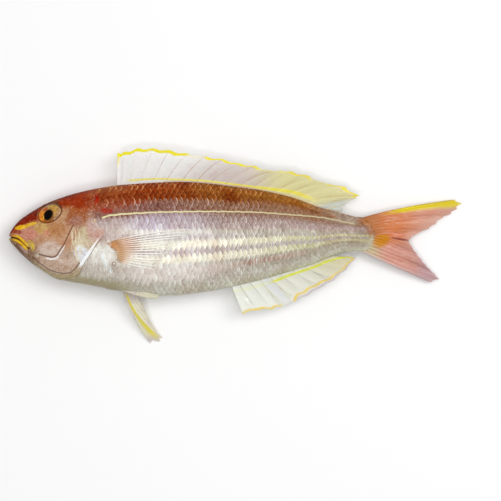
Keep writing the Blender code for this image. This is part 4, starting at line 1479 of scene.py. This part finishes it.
def make_pectoral(word, side, membrane_material, ray_material):
    """The fan worked out flat, then laid on the flank, the rays standing above the membrane."""
    flat = [[(*place, 0.0) for place in line]
            for line in (PECTORAL_FEET, PECTORAL_MIDDLES, PECTORAL_TIPS)]
    rays = fan_of(PECTORAL_RAYS, *flat)
    last = PECTORAL_RAYS - 1
    v, i = np.meshgrid(np.linspace(0, 1, 30), np.linspace(0, last, last * 8 + 1), indexing="ij")
    between = np.sin(math.pi * i) ** 2
    reach = v * (1 - 0.03 * between)
    raised = 0.1 + 0.5 * np.sin(math.pi * np.clip(v * 0.8, 0, 1)) - 0.1 * between
    sheet = on_fan(rays, i, reach)
    front = lie_on_flank(sheet, side, raised + 0.04)
    back = lie_on_flank(sheet, side, raised - 0.04)
    maps = fan_maps(rays, i, reach, 1 - v, sheet)
    maps = {key: both_faces(values, values) for key, values in maps.items()}
    lowest = 0.35 if side > 0 else 0.05
    web = make_piece(
        f"pectoral_{word}_membrane", both_faces(front, back), sheet_faces(30, i.shape[1]),
        np.empty((0, 3), int), maps, lowest,
    )
    wear(web, membrane_material)
    t = np.linspace(0, 1, 30)
    parted = 0.1 + np.clip((t - 0.45) / 0.55, 0, 1)
    number = np.tile(np.arange(PECTORAL_RAYS), 2)[:, None]
    number = number + np.repeat([-0.18, 0.18], PECTORAL_RAYS)[:, None] * parted
    chance = np.random.default_rng(11)
    number = np.clip(number + chance.normal(0, 0.16, number.shape[0])[:, None] * t, 0, last)
    reach = np.broadcast_to(t * 0.985, number.shape)
    lift = 0.12 + 0.56 * np.sin(math.pi * np.clip(reach * 0.8, 0, 1))
    paths = lie_on_flank(on_fan(rays, number, reach), side, lift)
    width = chance.uniform(0.2, 0.42, number.shape[0])[:, None] * (1 - 0.4 * t)
    out = np.broadcast_to(np.array([0.0, 0.0, float(side)]), paths.shape)
    maps = fan_maps(rays, number, reach, 1 - reach, paths)
    bones = make_rods(f"pectoral_{word}_rays", paths, width, width * 0.7, out, maps, 6, lowest)
    wear(bones, ray_material)


def pectoral_membrane_looks():
    """Fleshy and orange at the root, then nearly clear, and clearest at its borders."""
    paint = Paint("pectoral_membrane", Roughness=0.3, IOR=1.36, Specular_IOR_Level=0.2)
    rise = paint.rise
    u, v = paint.map("fin")
    cloud = paint.noise(150, 3)
    wave = v + (cloud - 0.5) * 0.12
    gaps = rise(abs(v - 0.32), 0.2, 0.04) * rise(u, 0.7, 0.4)
    colour = paint.coats(
        rgb(240, 232, 222),
        (rgb(232, 194, 148), rise(wave, 0.36, 0.12)),
        (rgb(208, 148, 96), rise(wave, 0.26, 0.04) * rise(u, 0.75, 0.3)),
        (rgb(196, 130, 104), gaps * 0.8),
    )
    inside = rise(u, 0.0, 0.12) * rise(u, 1.0, 0.8) * rise(v, 1.0, 0.6)
    foot = rise(wave - 0.1 * rise(u, 0.25, 0.6), -0.09, 0.06)
    foot = foot * rise(u, -0.04, 0.06) * rise(u, 1.02, 0.8) * rise(wave, 0.34, 0.08)
    cover = (0.05 + 0.06 * cloud + 0.25 * gaps) * inside + 0.8 * foot
    return paint.finish(Base_Color=colour, Alpha=cover, height=cloud, depth=0.1)


def pectoral_ray_looks():
    """White, turning orange at the root, where the rays fade into the flesh."""
    paint = Paint("pectoral_rays", Roughness=0.3, Specular_IOR_Level=0.3)
    _, v = paint.map("fin")
    colour = paint.coats(
        rgb(255, 253, 246),
        (rgb(240, 206, 180), paint.rise(v, 0.45, 0.2)),
        (rgb(212, 158, 104), paint.rise(v, 0.24, 0.1)),
    )
    shown = paint.rise(v, 0.06, 0.24) * (1 - 0.4 * paint.rise(v, 0.6, 1.0))
    return paint.finish(Base_Color=colour, Alpha=0.95 * shown)


pectoral_materials = pectoral_membrane_looks(), pectoral_ray_looks()
pore_paint = Paint("white_pore", Base_Color=rgb(246, 244, 238), Roughness=0.3, Coat_Weight=0.4)
for word, side in (("left", 1), ("right", -1)):
    make_pectoral(word, side, *pectoral_materials)
    pore = make_dome(f"pore_{word}", PORE_PLACE, (0.62, 0.62), 0.0, flank_side, 0.55, 0.5, side)
    wear(pore, pore_paint.material)


# The table, the light and the camera: a pale table under a wide soft light, seen from straight
# above by a long lens, as the photograph was framed.

FRAME_WIDTH, FRAME_CENTRE, FRAME_LEVEL = 0.3106, (0.00868, -0.00279), 0.012
CAMERA_HEIGHT, SENSOR_WIDTH = 2.0, 36.0
TABLE_HALF = 3.0
SKY_STRENGTH = 0.345
LAMPS = (
    ("softbox_over", (0.05, 0.15, 1.6), 1.3, 13.0), ("softbox_side", (0.8, 0.35, 1.2), 0.6, 6.0),
    ("small_lamp", (-0.3, -0.5, 1.7), 0.2, 3.2),
)

table_mesh = bpy.data.meshes.new("table")
corners = [(x * TABLE_HALF, y * TABLE_HALF, 0) for x, y in ((-1, -1), (1, -1), (1, 1), (-1, 1))]
table_mesh.from_pydata(corners, [], [(0, 1, 2, 3)])
table = bpy.data.objects.new("table", table_mesh)
bpy.context.scene.collection.objects.link(table)
table_paint = Paint("pale_table", Base_Color=(0.93, 0.93, 0.93, 1.0), Roughness=0.7)
table.data.materials.append(table_paint.material)

world = bpy.data.worlds.new("studio")
world.use_nodes = True
sky = world.node_tree.nodes["Background"].inputs
sky["Color"].default_value = (1.0, 1.0, 1.0, 1.0)
sky["Strength"].default_value = SKY_STRENGTH
bpy.context.scene.world = world
for name, place, size, power in LAMPS:
    lamp = bpy.data.lights.new(name, "AREA")
    lamp.size, lamp.energy = size, power
    holder = bpy.data.objects.new(name, lamp)
    holder.location = place
    x, y, z = place
    holder.rotation_euler = (math.atan2(math.hypot(x, y), z), 0.0, math.atan2(x, -y))
    bpy.context.scene.collection.objects.link(holder)

lens = bpy.data.cameras.new("camera")
lens.sensor_width = SENSOR_WIDTH
lens.lens = SENSOR_WIDTH * (CAMERA_HEIGHT - FRAME_LEVEL) / FRAME_WIDTH
camera = bpy.data.objects.new("camera", lens)
camera.location = (*FRAME_CENTRE, CAMERA_HEIGHT)
bpy.context.scene.collection.objects.link(camera)
bpy.context.scene.camera = camera
bpy.context.scene.view_settings.view_transform = "Standard"
